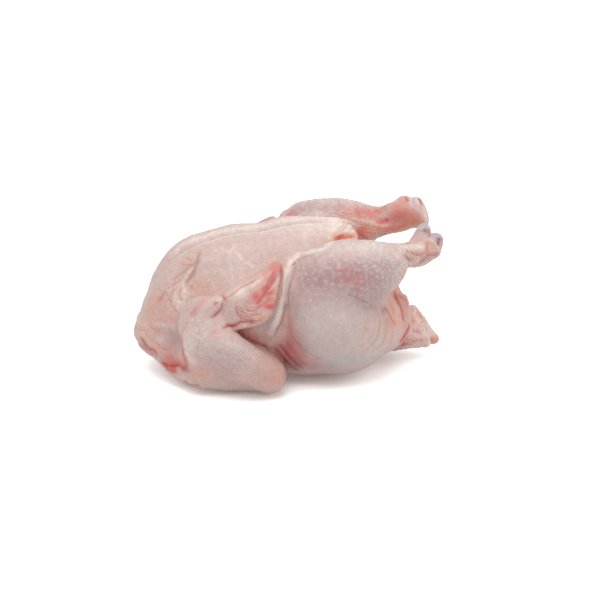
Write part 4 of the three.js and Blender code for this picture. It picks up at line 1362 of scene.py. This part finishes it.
@dataclass(frozen=True)
class Wing:
    """A folded wing, whose last joint, the hand, lies flat over the breast."""

    shift: Triple = (0, 0, 0)
    hand_thickness: float = 9
    hand_lift: float = 0
    hand_edge: float = 5
    hand: Outline = (
        (-60, 85), (-49, 91), (-35, 97), (-23, 103), (-14.5, 107), (-10.5, 104), (-10.5, 98), (-12.5, 87.5),
        (-16.5, 77), (-22.5, 67.5), (-29, 62.5), (-43, 59), (-57, 57), (-69, 64), (-70, 78),
    )
    upper: Form = Limb((-84, -49, 24.5, 19.5), (-58, -66, 18.5, 16), (-28, -72, 14.5, 12.5))
    fore: tuple[Station, ...] = (
        (-81, -72, 60, 17), (-61, -80, 43, 17), (-37, -84, 27.5, 15.5), (-24, -81, 19.5, 13.5),
    )
    web: Form = Lump((-76, -68, 38), (21, 13, 32), (0, 12, 0))
    wrist: Form = Lump((-77, -70, 66), (18, 12, 22), (0, -25, 0))
    thumb: Form = Limb((-78, -75, 77, 7.5), (-67, -74, 82, 6))
    inner: tuple[Form, ...] = (
        Limb((-74, -56, 66, 13), (-68, -57, 46, 15), (-44, -60, 33, 13), (-28, -65, 22, 12)),
        Limb((-66, -50, 20, 15), (-26, -58, 19, 14)),
    )

    def arm(self) -> Form:
        """Builds the upper arm, forearm, wrist and the skin between them."""
        bones = Joined(9, self.upper, Limb(*self.fore, curved=True), self.web)
        return Joined(9, bones, Joined(9, *self.inner), Joined(5, self.wrist, self.thumb))

    def form(self, trunk: Form, crease: float) -> Form:
        """Builds the wing.

        Args:
            trunk: The form that the hand lies on.
            crease: How sharp the fold between arm and hand is.

        Returns:
            The wing of the right side.
        """
        outline = [(x + self.shift[0], z + self.shift[2] + self.hand_lift) for x, z in self.hand]
        hand = Draped(trunk, outline, self.hand_thickness, self.hand_edge)
        return Joined(crease, Placed(self.arm(), self.shift), hand)

    def seats(self, side: Side) -> list[tuple[Seat, Marks]]:
        """Gives the marks of hand and arm, and where they go on a side."""
        x, y, z = self.shift
        return [(Seat(side, (x, y, z + self.hand_lift)), HAND_MARKS), (Seat(side, self.shift), ARM_MARKS)]


@dataclass(frozen=True)
class Bird:
    """All the parts, joined into one skin and hollowed at the vent."""

    trunk: Trunk = Trunk()
    lip: SkinLip = SkinLip()
    right_leg: Leg = right_leg()
    left_leg: Leg = left_leg()
    tail: Tail = Tail()
    right_wing: Wing = Wing()
    left_wing: Wing = Wing(shift=(8, -2, 8), hand_thickness=12, hand_lift=8)
    vent: Form = Lump((62, 0, 76), (66, 27, 27), (0, -22, 0))
    cavity: Form = Lump((40, 0, 60), (50, 32, 24), (0, -10, 0))
    crease: float = 2
    vent_edge: float = 6

    def form(self) -> Form:
        """Builds the whole bird."""
        trunk = self.trunk.form()
        skinned = Joined(6, trunk, Joined(1, *both_sides(self.lip.form(trunk))))
        right = Joined(self.crease, self.right_leg.form(), self.right_wing.form(trunk, self.crease))
        left = Joined(self.crease, self.left_leg.form(), self.left_wing.form(trunk, self.crease))
        sides = Joined(self.crease, skinned, right, Placed(left, stretch=-1))
        whole = Joined(5, sides, self.tail.form())
        return Grounded(Carved(whole, Joined(10, self.vent, self.cavity), self.vent_edge))

    def work(self, canvas: Canvas) -> None:
        """Works every part's folds and colours into the skin."""
        right, left = Seat(Side.RIGHT), Seat(Side.LEFT)
        middle = self.trunk.marks() + self.lip.marks() + self.tail.marks()
        seats = [(right, HOLLOW_MARKS), (right, middle), (left, middle)]
        seats += [(right, self.right_leg.marks()), (left, self.left_leg.marks())]
        seats += self.right_wing.seats(Side.RIGHT) + self.left_wing.seats(Side.LEFT)
        seats.append((left, FAR_MARKS))
        for seat, marks in seats:
            for mark in marks:
                mark.apply(canvas, seat)


# ---------------------------------------------------------------- node bench


class Wire:
    """A node's output socket, which takes part in sums: `1 - wire` adds a Math node."""

    def __init__(self, bench: Bench, socket: bpy.types.NodeSocket) -> None:
        """Takes the bench it is on and its socket."""
        self.bench = bench
        self.socket = socket

    def __add__(self, other: Any) -> Wire:
        """Adds."""
        return self.bench.maths("ADD", self, other)

    def __sub__(self, other: Any) -> Wire:
        """Takes away."""
        return self.bench.maths("SUBTRACT", self, other)

    def __mul__(self, other: Any) -> Wire:
        """Multiplies."""
        return self.bench.maths("MULTIPLY", self, other)

    def __rsub__(self, other: Any) -> Wire:
        """Takes the wire away from a number."""
        return self.bench.maths("SUBTRACT", other, self)

    __radd__ = __add__
    __rmul__ = __mul__

    def clipped(self) -> Wire:
        """Keeps it between 0 and 1."""
        return self.bench.node("ShaderNodeClamp", {}, {"Value": self})

    def sine(self) -> Wire:
        """Gives its sine."""
        return self.bench.maths("SINE", self)

    def rising(self, low: float, high: float) -> Wire:
        """Gives 0 below low, 1 above high, and a smooth rise between."""
        sockets = {"Value": self, "From Min": low, "From Max": high}
        return self.bench.node("ShaderNodeMapRange", {"interpolation_type": "SMOOTHSTEP"}, sockets)


class Bench:
    """Adds nodes to one tree."""

    def __init__(self, tree: bpy.types.NodeTree) -> None:
        """Takes the tree."""
        self.tree = tree

    def node(
        self, kind: str, settings: dict[str, Any], sockets: dict[str | int, Any], out: str | int = 0
    ) -> Wire:
        """Adds a node.

        Args:
            kind: Its type.
            settings: Its properties, set before its sockets.
            sockets: A value or a wire for each input, by its name or number.
            out: The name or number of the output that is wanted.

        Returns:
            The wanted output.
        """
        made = self.tree.nodes.new(kind)
        for name, value in settings.items():
            setattr(made, name, value)
        for key, value in sockets.items():
            named = (s for s in made.inputs if s.name == key and s.enabled)
            self.feed(made.inputs[key] if isinstance(key, int) else next(named), value)
        return Wire(self, made.outputs[out])

    def feed(self, socket: bpy.types.NodeSocket, value: Any) -> None:
        """Gives a socket a wire, or a value of its own."""
        if isinstance(value, Wire):
            self.tree.links.new(value.socket, socket)
        elif socket.type == "RGBA":
            socket.default_value = (*value, 1.0)
        else:
            socket.default_value = value

    def end(self, kind: str, name: str, wire: Wire) -> None:
        """Ends the tree: adds a node without outputs and gives its socket a wire."""
        self.feed(self.tree.nodes.new(kind).inputs[name], wire)

    def maths(self, operation: str, *values: Any) -> Wire:
        """Adds a Math node."""
        return self.node("ShaderNodeMath", {"operation": operation}, dict(enumerate(values)))

    def mix(self, share: Wire | float, under: Any, over: Any, how: str = "MIX") -> Wire:
        """Mixes two colours.

        Args:
            share: How much of the second.
            under: The first colour.
            over: The second colour.
            how: The blend type.

        Returns:
            The mixed colour.
        """
        settings = {"data_type": "RGBA", "blend_type": how}
        return self.node("ShaderNodeMix", settings, {0: share, 6: under, 7: over}, 2)

    def either(self, share: Wire, first: Wire, second: Wire) -> Wire:
        """Mixes two shaders."""
        return self.node("ShaderNodeMixShader", {}, {0: share, 1: first, 2: second})

    def noise(self, size: float, detail: float = 2.0, rough: float = 0.5, seed: float = 0.0) -> Wire:
        """Gives noise from 0 to 1.

        Args:
            size: How wide its bumps are, in millimetres.
            detail: How many finer layers it has.
            rough: How strong they are.
            seed: Where it is taken from.

        Returns:
            The noise.
        """
        where = {"Vector": self.place(), "W": seed, "Scale": METRE / size}
        sockets = {**where, "Detail": detail, "Roughness": rough}
        return self.node("ShaderNodeTexNoise", {"noise_dimensions": "4D"}, sockets)

    def place(self) -> Wire:
        """Gives the place on the piece, in metres."""
        return self.node("ShaderNodeTexCoord", {}, {}, "Object")

    def painted(self, name: str) -> Wire:
        """Gives a painted attribute."""
        return self.node("ShaderNodeAttribute", {"attribute_name": name}, {}, "Fac")

    def given(self, name: str) -> Wire:
        """Gives one of the tree's own inputs."""
        return self.node("NodeGroupInput", {}, {}, name)

    def seen(self) -> Wire:
        """Gives 1 for what the camera sees directly, and 0 for what lights something else."""
        return self.node("ShaderNodeLightPath", {}, {}, "Is Camera Ray")


def bare_bench(holder: bpy.types.Material | bpy.types.World) -> Bench:
    """Empties the tree of a material or world and gives its bench."""
    holder.use_nodes = True
    holder.node_tree.nodes.clear()
    return Bench(holder.node_tree)


def shade(red: int, green: int, blue: int) -> Triple:
    """Turns a colour as painters name it, 0 to 255, into light."""
    parts = [v / 255 for v in (red, green, blue)]
    return tuple(v / 12.92 if v <= 0.04045 else ((v + 0.055) / 1.055) ** 2.4 for v in parts)


@dataclass(frozen=True)
class SkinFinish:
    """Raw skin: pale and a little see-through, wet, with what lies under it showing.

    `under` goes from the lowest layer to the topmost. `pore` is in millimetres, while the height of the
    fine relief, `drop`, and how far light goes through the skin, `glow_depth`, are in metres. Painted shade
    darkens fine folds and sharp creases, and sharp ridges get a pale line that is partly a painted highlight.
    """

    bare: Triple = shade(203, 180, 173)
    warm: Triple = shade(205, 171, 162)
    dot: Triple = shade(238, 225, 221)
    speck: Triple = shade(208, 112, 98)
    # Painted shade: the reddish brown that the low parts of the fine folds are darkened toward.
    fold: Triple = shade(196, 118, 106)
    # Pale line along sharp ridges: partly the skin's own pale ridge, partly a painted highlight.
    ridge: Triple = shade(236, 222, 212)
    # Painted shade: the dark red-brown that sharp creases are darkened toward.
    crease: Triple = shade(150, 78, 70)
    under: tuple[tuple[Paint, Triple], ...] = (
        (PALE, shade(235, 221, 211)),
        (GREY, shade(180, 174, 174)),
        (MAUVE, shade(176, 140, 140)),
        (BLUSH, shade(222, 144, 114)),
        (GRISTLE, shade(174, 170, 180)),
        (FLUSH, shade(205, 78, 74)),
        (MEAT, shade(110, 38, 35)),
    )
    roughness: float = 0.44
    wetness: float = 0.3
    wet_roughness: float = 0.2
    pore: float = 3.6
    drop: float = 0.001
    drop_strength: float = 0.9
    glow: float = 0.1
    glow_depth: float = 0.004
    glow_spread: Triple = (1.0, 0.42, 0.3)

    def depths(self, bench: Bench, small: Wire, grain: Wire) -> Wire:
        """Builds the skin's colour with what lies in and under it.

        Args:
            bench: The material's bench.
            small: Unevenness a few millimetres wide.
            grain: Finer unevenness.

        Returns:
            The colour's wire.
        """
        broad = bench.noise(26, 3, 0.55, 1.0) - 0.5
        tone = bench.mix((broad * 1.6 + 0.4).clipped(), self.bare, self.warm)
        for index, (paint, colour) in enumerate(self.under):
            mask = bench.painted(paint.value)
            edge = bench.noise(6 + index * 0.5, 4, 0.65, 3.0 + index) - 0.5
            share = mask + mask * (1 - mask) * 3.0 * edge + mask * (0.5 * small + 0.9 * grain)
            tone = bench.mix(share.clipped(), tone, colour)
        return tone

    def colour(self, bench: Bench, folds: Wire, groove: Wire, ridge: Wire, dots: Wire) -> Wire:
        """Builds the colour.

        Args:
            bench: The material's bench.
            folds: Where the fine folds are low, darkened there as painted shade.
            groove: Where a sharp crease runs, darkened there as painted shade.
            ridge: Where a sharp pale line runs, partly a painted highlight.
            dots: Where the follicles are.

        Returns:
            The colour's wire.
        """
        small = bench.noise(5, 3, 0.6, 2.0) - 0.5
        grain = bench.noise(2.4, 2, 0.5, 5.0) - 0.5
        blush = bench.painted(BLUSH.value)
        raw = (blush * 0.7 + bench.painted(FLUSH.value)).clipped()
        sore = bench.noise(30, 1, 0.5, 13.0).rising(0.42, 0.62)
        specks = bench.noise(3.2, 2, 0.5, 12.0).rising(0.6, 0.75) * sore
        tone = self.depths(bench, small, grain)
        tone = bench.mix(specks * (blush * 1.2 + 0.3), tone, self.speck)
        # Painted shade in the low parts of the fine folds.
        tone = bench.mix(folds * 0.4, tone, self.fold)
        tone = bench.mix(dots * (0.8 - raw * 0.5), tone, self.dot)
        # Pale line along sharp ridges, partly a painted highlight.
        tone = bench.mix(ridge * 0.55, tone, self.ridge)
        # Painted shade along sharp creases.
        tone = bench.mix(groove * 0.6, tone, self.crease)
        light = small * 0.3 + grain * 0.36 + 1
        grey = bench.node("ShaderNodeCombineColor", {}, {"Red": light, "Green": light, "Blue": light})
        return bench.mix(1.0, tone, grey, "MULTIPLY")

    def relief(self, bench: Bench, wave: Wire, scored: Wire, pebble: Wire, pores: Wire) -> Wire:
        """Builds the fine relief.

        Args:
            bench: The material's bench.
            wave: The fine folds, from -1 to 1 times their depth.
            scored: The sharp lines, below zero where they are grooves.
            pebble: Where the skin is coarse.
            pores: How far each place is from its follicle, from 0 to about 1.

        Returns:
            The normal's wire.
        """
        height = wave * 0.4 + bench.noise(2.0, 3, 0.6, 21.0) * 0.5 + bench.noise(7, 2, 0.5, 22.0) * 0.6
        height = height - pores.rising(0.0, 0.6) * (pebble * 0.55 + 0.12) + scored * 0.5
        sockets = {"Height": height, "Distance": self.drop, "Strength": self.drop_strength}
        return bench.node("ShaderNodeBump", {}, sockets)

    def material(self) -> bpy.types.Material:
        """Builds the material."""
        skin = bpy.data.materials.new("raw_skin")
        bench = bare_bench(skin)
        sway = bench.noise(10, 2, 0.5, 31.0) - 0.5
        wave = (bench.painted("phase") * math.tau + sway * 6).sine() * bench.painted("folds")
        stray = bench.painted("seam") + (bench.noise(4, 2, 0.5, 32.0) - 0.5) * 2.2
        scored = (1 - stray * stray * 1.3).clipped() * bench.painted("seam_depth")
        sockets = {"Vector": bench.place(), "Scale": METRE / self.pore}
        pores = bench.node("ShaderNodeTexVoronoi", {"feature": "SMOOTH_F1"}, sockets, "Distance")
        pebble = bench.painted(PEBBLE.value)
        dots = ((1 - pores.rising(0.1, 0.5)) * pebble * 0.35 + bench.painted("lift")).clipped()
        # Masks for painted shade in fold troughs and creases, and for the partly painted highlight on ridges.
        low, groove, ridge = (wave * -1).clipped(), (scored * -1).clipped(), scored.clipped()
        damp = bench.noise(14, 3, 0.6, 41.0)
        wet = bench.painted(WET.value)
        sockets = {
            "Base Color": self.colour(bench, low, groove, ridge, dots),
            "Roughness": ((damp - 0.5) * 0.3 - wet * 0.16 + self.roughness).clipped(),
            "Normal": self.relief(bench, wave, scored, pebble, pores),
            "Coat Weight": (damp.rising(0.35, 0.7) * self.wetness + wet * 0.7).clipped(),
            "Coat Roughness": self.wet_roughness,
            "Subsurface Weight": self.glow,
            "Subsurface Scale": self.glow_depth,
            "Subsurface Radius": self.glow_spread,
        }
        bench.end("ShaderNodeOutputMaterial", "Surface", bench.node("ShaderNodeBsdfPrincipled", {}, sockets))
        return skin


# ---------------------------------------------------------------- pieces


def shown(name: str, data: bpy.types.ID) -> bpy.types.Object:
    """Makes an object and puts it into the scene."""
    made = bpy.data.objects.new(name, data)
    bpy.context.scene.collection.objects.link(made)
    return made


def lay_values(mesh: bpy.types.Mesh, columns: dict[str, Sequence[float]]) -> None:
    """Gives each corner of a mesh a value under each name."""
    for name, values in columns.items():
        layer = mesh.attributes.new(name, "FLOAT", "POINT")
        layer.data.foreach_set("value", np.array(values, np.float32))


@dataclass(frozen=True)
class Carcass:
    """The bird's whole skin as one mesh. Each of its random swells has a width and a height."""

    bird: Bird = Bird()
    net: Net = Net()
    swells: Outline = ((22, 0.8), (9, 0.35))
    pebble_size: float = 4.2
    pebble_height: float = 0.35
    halo_tint: float = 1.15

    def canvas(self) -> Canvas:
        """Covers the bird and works its relief and colours in."""
        canvas = Canvas(*self.net.cover(self.bird.form()))
        for number, (size, height) in enumerate(self.swells):
            canvas.height += height * Unevenness(seed=1 + number)(canvas.points, size)
        self.bird.work(canvas)
        pebbles = Unevenness(seed=3)(canvas.points, self.pebble_size)
        canvas.height += canvas.paints[PEBBLE] * self.pebble_height * pebbles
        return canvas

    def build(self, canvas: Canvas, skin: bpy.types.Material) -> bpy.types.Object:
        """Makes the mesh.

        Args:
            canvas: The worked skin.
            skin: Its material.

        Returns:
            The piece, in metres in the shared frame.
        """
        mesh = bpy.data.meshes.new("chicken_skin")
        places = (canvas.pressed() - MIDDLE) / METRE
        mesh.from_pydata(places.tolist(), [], canvas.quads.tolist())
        mesh.polygons.foreach_set("use_smooth", np.ones(len(mesh.polygons), bool))
        lay_values(mesh, {paint.value: values for paint, values in canvas.paints.items()})
        folds = {"phase": canvas.phase, "folds": canvas.folds}
        seams = {"seam": canvas.seam, "seam_depth": canvas.seam_depth}
        lay_values(mesh, {"lift": canvas.halo * self.halo_tint, **folds, **seams})
        mesh.materials.append(skin)
        return shown("chicken_skin", mesh)


@dataclass(frozen=True)
class Rows:
    """Staggered rows of feather follicles round a line that runs inside a limb.

    Pitch and size are those at the line's two ends, and `reach` is how far from it the skin may be. The
    row pitch and jitter count in pitches, and `girth` in reaches.
    """

    line: tuple[Triple, ...]
    pitch: tuple[float, float]
    size: tuple[float, float]
    reach: float
    lift: float
    girth: ClassVar[float] = 0.8
    row_pitch: ClassVar[float] = 0.86
    jitter: ClassVar[float] = 0.16
    fewest: ClassVar[int] = 6
    line_steps: ClassVar[int] = 12

    def rays(self, seed: int) -> Iterator[tuple[Vector, Vector, float]]:
        """Finds the rays on which the follicles lie.

        Args:
            seed: For their unevenness.

        Yields:
            For each, a point on the line, the way out and the follicle's size.
        """
        rng = np.random.default_rng(seed)
        line = smoothed(self.line, self.line_steps)
        lengths = np.concatenate([[0], np.cumsum(np.linalg.norm(np.diff(line, axis=0), axis=1))])
        at, row = 0.0, 0
        while at < lengths[-1]:
            share = at / lengths[-1]
            pitch, size = (a + (b - a) * share for a, b in (self.pitch, self.size))
            spots = ([np.interp(t, lengths, line[:, i]) for i in range(3)] for t in (at, at + 1))
            place, ahead = (Vector(spot) for spot in spots)
            way = (ahead - place).normalized() if at + 1 < lengths[-1] else Vector((1, 0, 0))
            side = way.cross(Vector((0, 0, 1))).normalized()
            up = side.cross(way)
            count = max(self.fewest, round(math.tau * self.reach * self.girth / pitch))
            for i in range(count):
                angle = math.tau * (i + row % 2 / 2 + rng.uniform(-self.jitter, self.jitter)) / count
                slide = way * float(rng.uniform(-self.jitter, self.jitter)) * pitch
                yield place + slide, side * math.cos(angle) + up * math.sin(angle), size
            at += pitch * self.row_pitch
            row += 1


@dataclass(frozen=True)
class Follicles:
    """The raised pores that the feathers left: flat domes, with a soft swelling of the skin round each.

    `flatness` is a dome's height over its width, and `halo` the width of the swelling. None sits below
    `lowest`, or where a ray meets the skin less squarely than `least_facing`.
    """

    rows: tuple[Rows, ...] = (
        Rows(
            ((10, -57, 90), (29, -60, 98), (50, -61, 99), (70, -60, 102), (86, -58, 108)),
            (6.8, 3.6), (1.4, 0.8), 33, 0.24,
        ),
        Rows(
            ((10, 57, 94), (28, 60, 102), (48, 61, 105), (68, 60, 108), (88, 59, 111)),
            (6.4, 3.8), (1.6, 0.9), 33, 0.3,
        ),
        Rows(((-80, -72, 58), (-61, -80, 42), (-38, -84, 26)), (4.6, 4.4), (0.8, 0.7), 20, 0.16),
        Rows(((-72, 70, 66), (-53, 78, 50), (-30, 82, 34)), (4.6, 4.4), (0.8, 0.7), 20, 0.16),
        Rows(((98, 0, 26), (112, 0, 25), (126, 0, 17)), (4.6, 3.8), (1.9, 1.1), 26, 0.36),
    )
    facets: int = 8
    rings: int = 5
    flatness: float = 0.14
    smallest: float = 0.75
    largest: float = 1.15
    halo: float = 1.5
    halo_reach: float = 2.6
    halo_lift: float = 0.4
    swell: float = 1.0
    least_facing: float = 0.3
    lowest: float = 4
    seed: int = 7

    def sites(self, tree: BVHTree) -> Iterator[tuple[Rows, float, Vector, Vector, int]]:
        """Finds where the follicles sit on the skin.

        Args:
            tree: The skin.

        Yields:
            For each, its rows, its size, its place, the way the skin faces there and the quad's number.
        """
        for number, rows in enumerate(self.rows):
            for start, out, size in rows.rays(self.seed + number):
                place, facing, quad, _ = tree.ray_cast(start, out, rows.reach)
                if place is not None and facing.dot(out) >= self.least_facing and place.z >= self.lowest:
                    yield rows, size, place, facing, quad

    def soften(self, canvas: Canvas) -> None:
        """Raises the skin a little round each follicle and makes it paler."""
        near = KDTree(len(canvas.points))
        for index, point in enumerate(canvas.points):
            near.insert(point, index)
        near.balance()
        for rows, _, place, _, _ in self.sites(canvas.tree):
            for _, index, gap in near.find_range(place, self.halo_reach * self.halo):
                share = rows.lift * math.exp(-((gap / self.halo) ** 2))
                canvas.halo[index] = max(canvas.halo[index], share)
        canvas.height += self.swell * canvas.halo

    def points(self, canvas: Canvas) -> bpy.types.Object:
        """Puts a point on the skin for each follicle.

        Args:
            canvas: The worked skin.

        Returns:
            The points, in metres, with their facing, size and tints.
        """
        tree = BVHTree.FromPolygons(canvas.pressed().tolist(), canvas.quads.tolist())
        places, facings, sizes, corners, lifts = [], [], [], [], []
        for rows, size, place, facing, quad in self.sites(tree):
            places.append((place - Vector(MIDDLE)) / METRE)
            facings.append(facing)
            sizes.append(size / METRE)
            corners.append(int(canvas.quads[quad][0]))
            lifts.append(rows.lift + float(canvas.halo[corners[-1]]) * self.halo_lift)
        mesh = bpy.data.meshes.new("follicle_points")
        mesh.from_pydata(places, [], [])
        lay_values(mesh, {paint.value: values[corners] for paint, values in canvas.paints.items()})
        lay_values(mesh, {"size": sizes, "lift": lifts})
        layer = mesh.attributes.new("facing", "FLOAT_VECTOR", "POINT")
        layer.data.foreach_set("vector", np.array(facings, np.float32).ravel())
        return shown("follicle_points", mesh)

    def tree(self, skin: bpy.types.Material) -> bpy.types.NodeTree:
        """Builds the tree that raises a small flat dome on each point.

        Args:
            skin: The domes' material.

        Returns:
            The node tree.
        """
        tree = bpy.data.node_groups.new("follicle_domes", "GeometryNodeTree")
        inputs = {"Geometry": "Geometry", "Facets": "Int", "Rings": "Int", "Flatness": "Float", "Seed": "Int"}
        for name, kind in inputs.items():
            tree.interface.new_socket(name, in_out="INPUT", socket_type=f"NodeSocket{kind}")
        tree.interface.new_socket("Geometry", in_out="OUTPUT", socket_type="NodeSocketGeometry")
        bench = Bench(tree)
        ball = {"Segments": bench.given("Facets"), "Rings": bench.given("Rings"), "Radius": 1.0}
        dome = bench.node("GeometryNodeMeshUVSphere", {}, ball, "Mesh")
        named = "GeometryNodeInputNamedAttribute"
        facing = bench.node(named, {"data_type": "FLOAT_VECTOR"}, {"Name": "facing"}, "Attribute")
        turn = bench.node("FunctionNodeAlignRotationToVector", {"axis": "Z"}, {"Vector": facing}, "Rotation")
        size = bench.node(named, {"data_type": "FLOAT"}, {"Name": "size"}, "Attribute")
        chance = {"Min": self.smallest, "Max": self.largest, "Seed": bench.given("Seed")}
        wide = size * bench.node("FunctionNodeRandomValue", {"data_type": "FLOAT"}, chance, 1)
        widths = {"X": wide, "Y": wide, "Z": wide * bench.given("Flatness")}
        scale = bench.node("ShaderNodeCombineXYZ", {}, widths)
        spots = {"Points": bench.given("Geometry"), "Instance": dome, "Rotation": turn, "Scale": scale}
        domes = bench.node("GeometryNodeInstanceOnPoints", {}, spots)
        real = bench.node("GeometryNodeRealizeInstances", {}, {"Geometry": domes})
        smooth = bench.node("GeometryNodeSetShadeSmooth", {}, {"Geometry": real})
        dressed = bench.node("GeometryNodeSetMaterial", {}, {"Geometry": smooth, "Material": skin})
        bench.end("NodeGroupOutput", "Geometry", dressed)
        return tree

    def build(self, canvas: Canvas, skin: bpy.types.Material) -> bpy.types.Object:
        """Makes the domes.

        Args:
            canvas: The worked skin.
            skin: The skin's material.

        Returns:
            The piece, in metres in the shared frame.
        """
        points = self.points(canvas)
        tree = self.tree(skin)
        modifier = points.modifiers.new("domes", "NODES")
        modifier.node_group = tree
        wanted = {"Facets": self.facets, "Rings": self.rings, "Flatness": self.flatness, "Seed": self.seed}
        for item in tree.interface.items_tree:
            if item.in_out == "INPUT" and item.name in wanted:
                modifier[item.identifier] = wanted[item.name]
        graph = bpy.context.evaluated_depsgraph_get()
        mesh = bpy.data.meshes.new_from_object(points.evaluated_get(graph))
        bpy.data.objects.remove(points)
        return shown("follicles", mesh)


@dataclass(frozen=True)
class Studio:
    """A white table in soft light before a white background, and the camera.

    Lengths are in metres, but for lens and sensor. A lamp is its name, place, side and power. The light
    sees the table in `paper`, shining by `bounce`, and the camera sees it in `lit`.
    """

    target: Triple = (0.008962, -0.001005, 0.0574)
    back: Triple = (-0.1324, -0.9418, 0.3090)
    distance: float = 1.3
    lens: float = 88.92
    sensor: float = 36
    sky: float = 0.72
    lamps: tuple[tuple[str, Triple, float, float], ...] = (
        ("overhead", (-0.3, -0.5, 1.7), 1.4, 14.0),
        ("beside", (1.35, 0.0, 0.9), 0.9, 4.0),
    )
    half: float = 12.0
    paper: Triple = (0.82, 0.82, 0.82)
    bounce: float = 0.1
    lit: Triple = (1.74, 1.84, 1.85)
    gloss: float = 0.3

    def camera(self) -> None:
        """Sets the camera up."""
        data = bpy.data.cameras.new("camera")
        data.lens = self.lens
        data.sensor_width = self.sensor
        camera = shown("camera", data)
        back = Vector(self.back).normalized()
        camera.location = Vector(self.target) + back * self.distance
        camera.rotation_euler = back.to_track_quat("Z", "Y").to_euler()
        bpy.context.scene.camera = camera

    def lamp(self, name: str, at: Triple, size: float, power: float) -> None:
        """Hangs a soft square light that faces the bird.

        Args:
            name: Its name.
            at: Its place in metres.
            size: Its side in metres.
            power: Its power in watts.
        """
        data = bpy.data.lights.new(name, "AREA")
        data.size = size
        data.energy = power
        light = shown(name, data)
        light.location = at
        light.rotation_euler = (Vector(at) - Vector(self.target)).to_track_quat("Z", "Y").to_euler()

    def floor(self) -> None:
        """Lays the table."""
        white = bpy.data.materials.new("white_table")
        bench = bare_bench(white)
        looks = []
        for colour, shine in ((self.paper, self.bounce), (self.lit, 0.0)):
            sockets = {"Base Color": colour, "Roughness": self.gloss, "Emission Color": (1.0, 1.0, 1.0)}
            looks.append(bench.node("ShaderNodeBsdfPrincipled", {}, {**sockets, "Emission Strength": shine}))
        bench.end("ShaderNodeOutputMaterial", "Surface", bench.either(bench.seen(), *looks))
        mesh = bpy.data.meshes.new("table")
        corners = [(x * self.half, y * self.half, 0) for x, y in ((-1, -1), (1, -1), (1, 1), (-1, 1))]
        mesh.from_pydata(corners, [], [(0, 1, 2, 3)])
        mesh.materials.append(white)
        shown("table", mesh)

    def room(self) -> None:
        """Lights the room evenly, with a background that is pure white."""
        world = bpy.data.worlds.new("white_room")
        bench = bare_bench(world)
        walls = []
        for strength in (self.sky, 1.0):
            sockets = {"Color": (1, 1, 1), "Strength": strength}
            walls.append(bench.node("ShaderNodeBackground", {}, sockets))
        bench.end("ShaderNodeOutputWorld", "Surface", bench.either(bench.seen(), *walls))
        bpy.context.scene.world = world

    def build(self) -> None:
        """Sets the whole studio up."""
        self.camera()
        self.floor()
        for lamp in self.lamps:
            self.lamp(*lamp)
        self.room()
        bpy.context.scene.view_settings.view_transform = "Standard"


def main() -> None:
    """Builds the bird and its studio."""
    logging.basicConfig(level=logging.INFO, format="%(message)s")
    Studio().build()
    LOG.info("studio: table, soft light and camera")
    carcass = Carcass()
    canvas = carcass.canvas()
    follicles = Follicles()
    follicles.soften(canvas)
    LOG.info("skin: %d corners", len(canvas.points))
    skin = SkinFinish().material()
    piece = carcass.build(canvas, skin)
    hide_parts("chicken")
    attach(piece, "root")
    LOG.info("skin: built")
    domes = follicles.build(canvas, skin)
    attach(domes, "root")
    LOG.info("follicles: %d faces", len(domes.data.polygons))


if __name__ == "__main__":
    main()
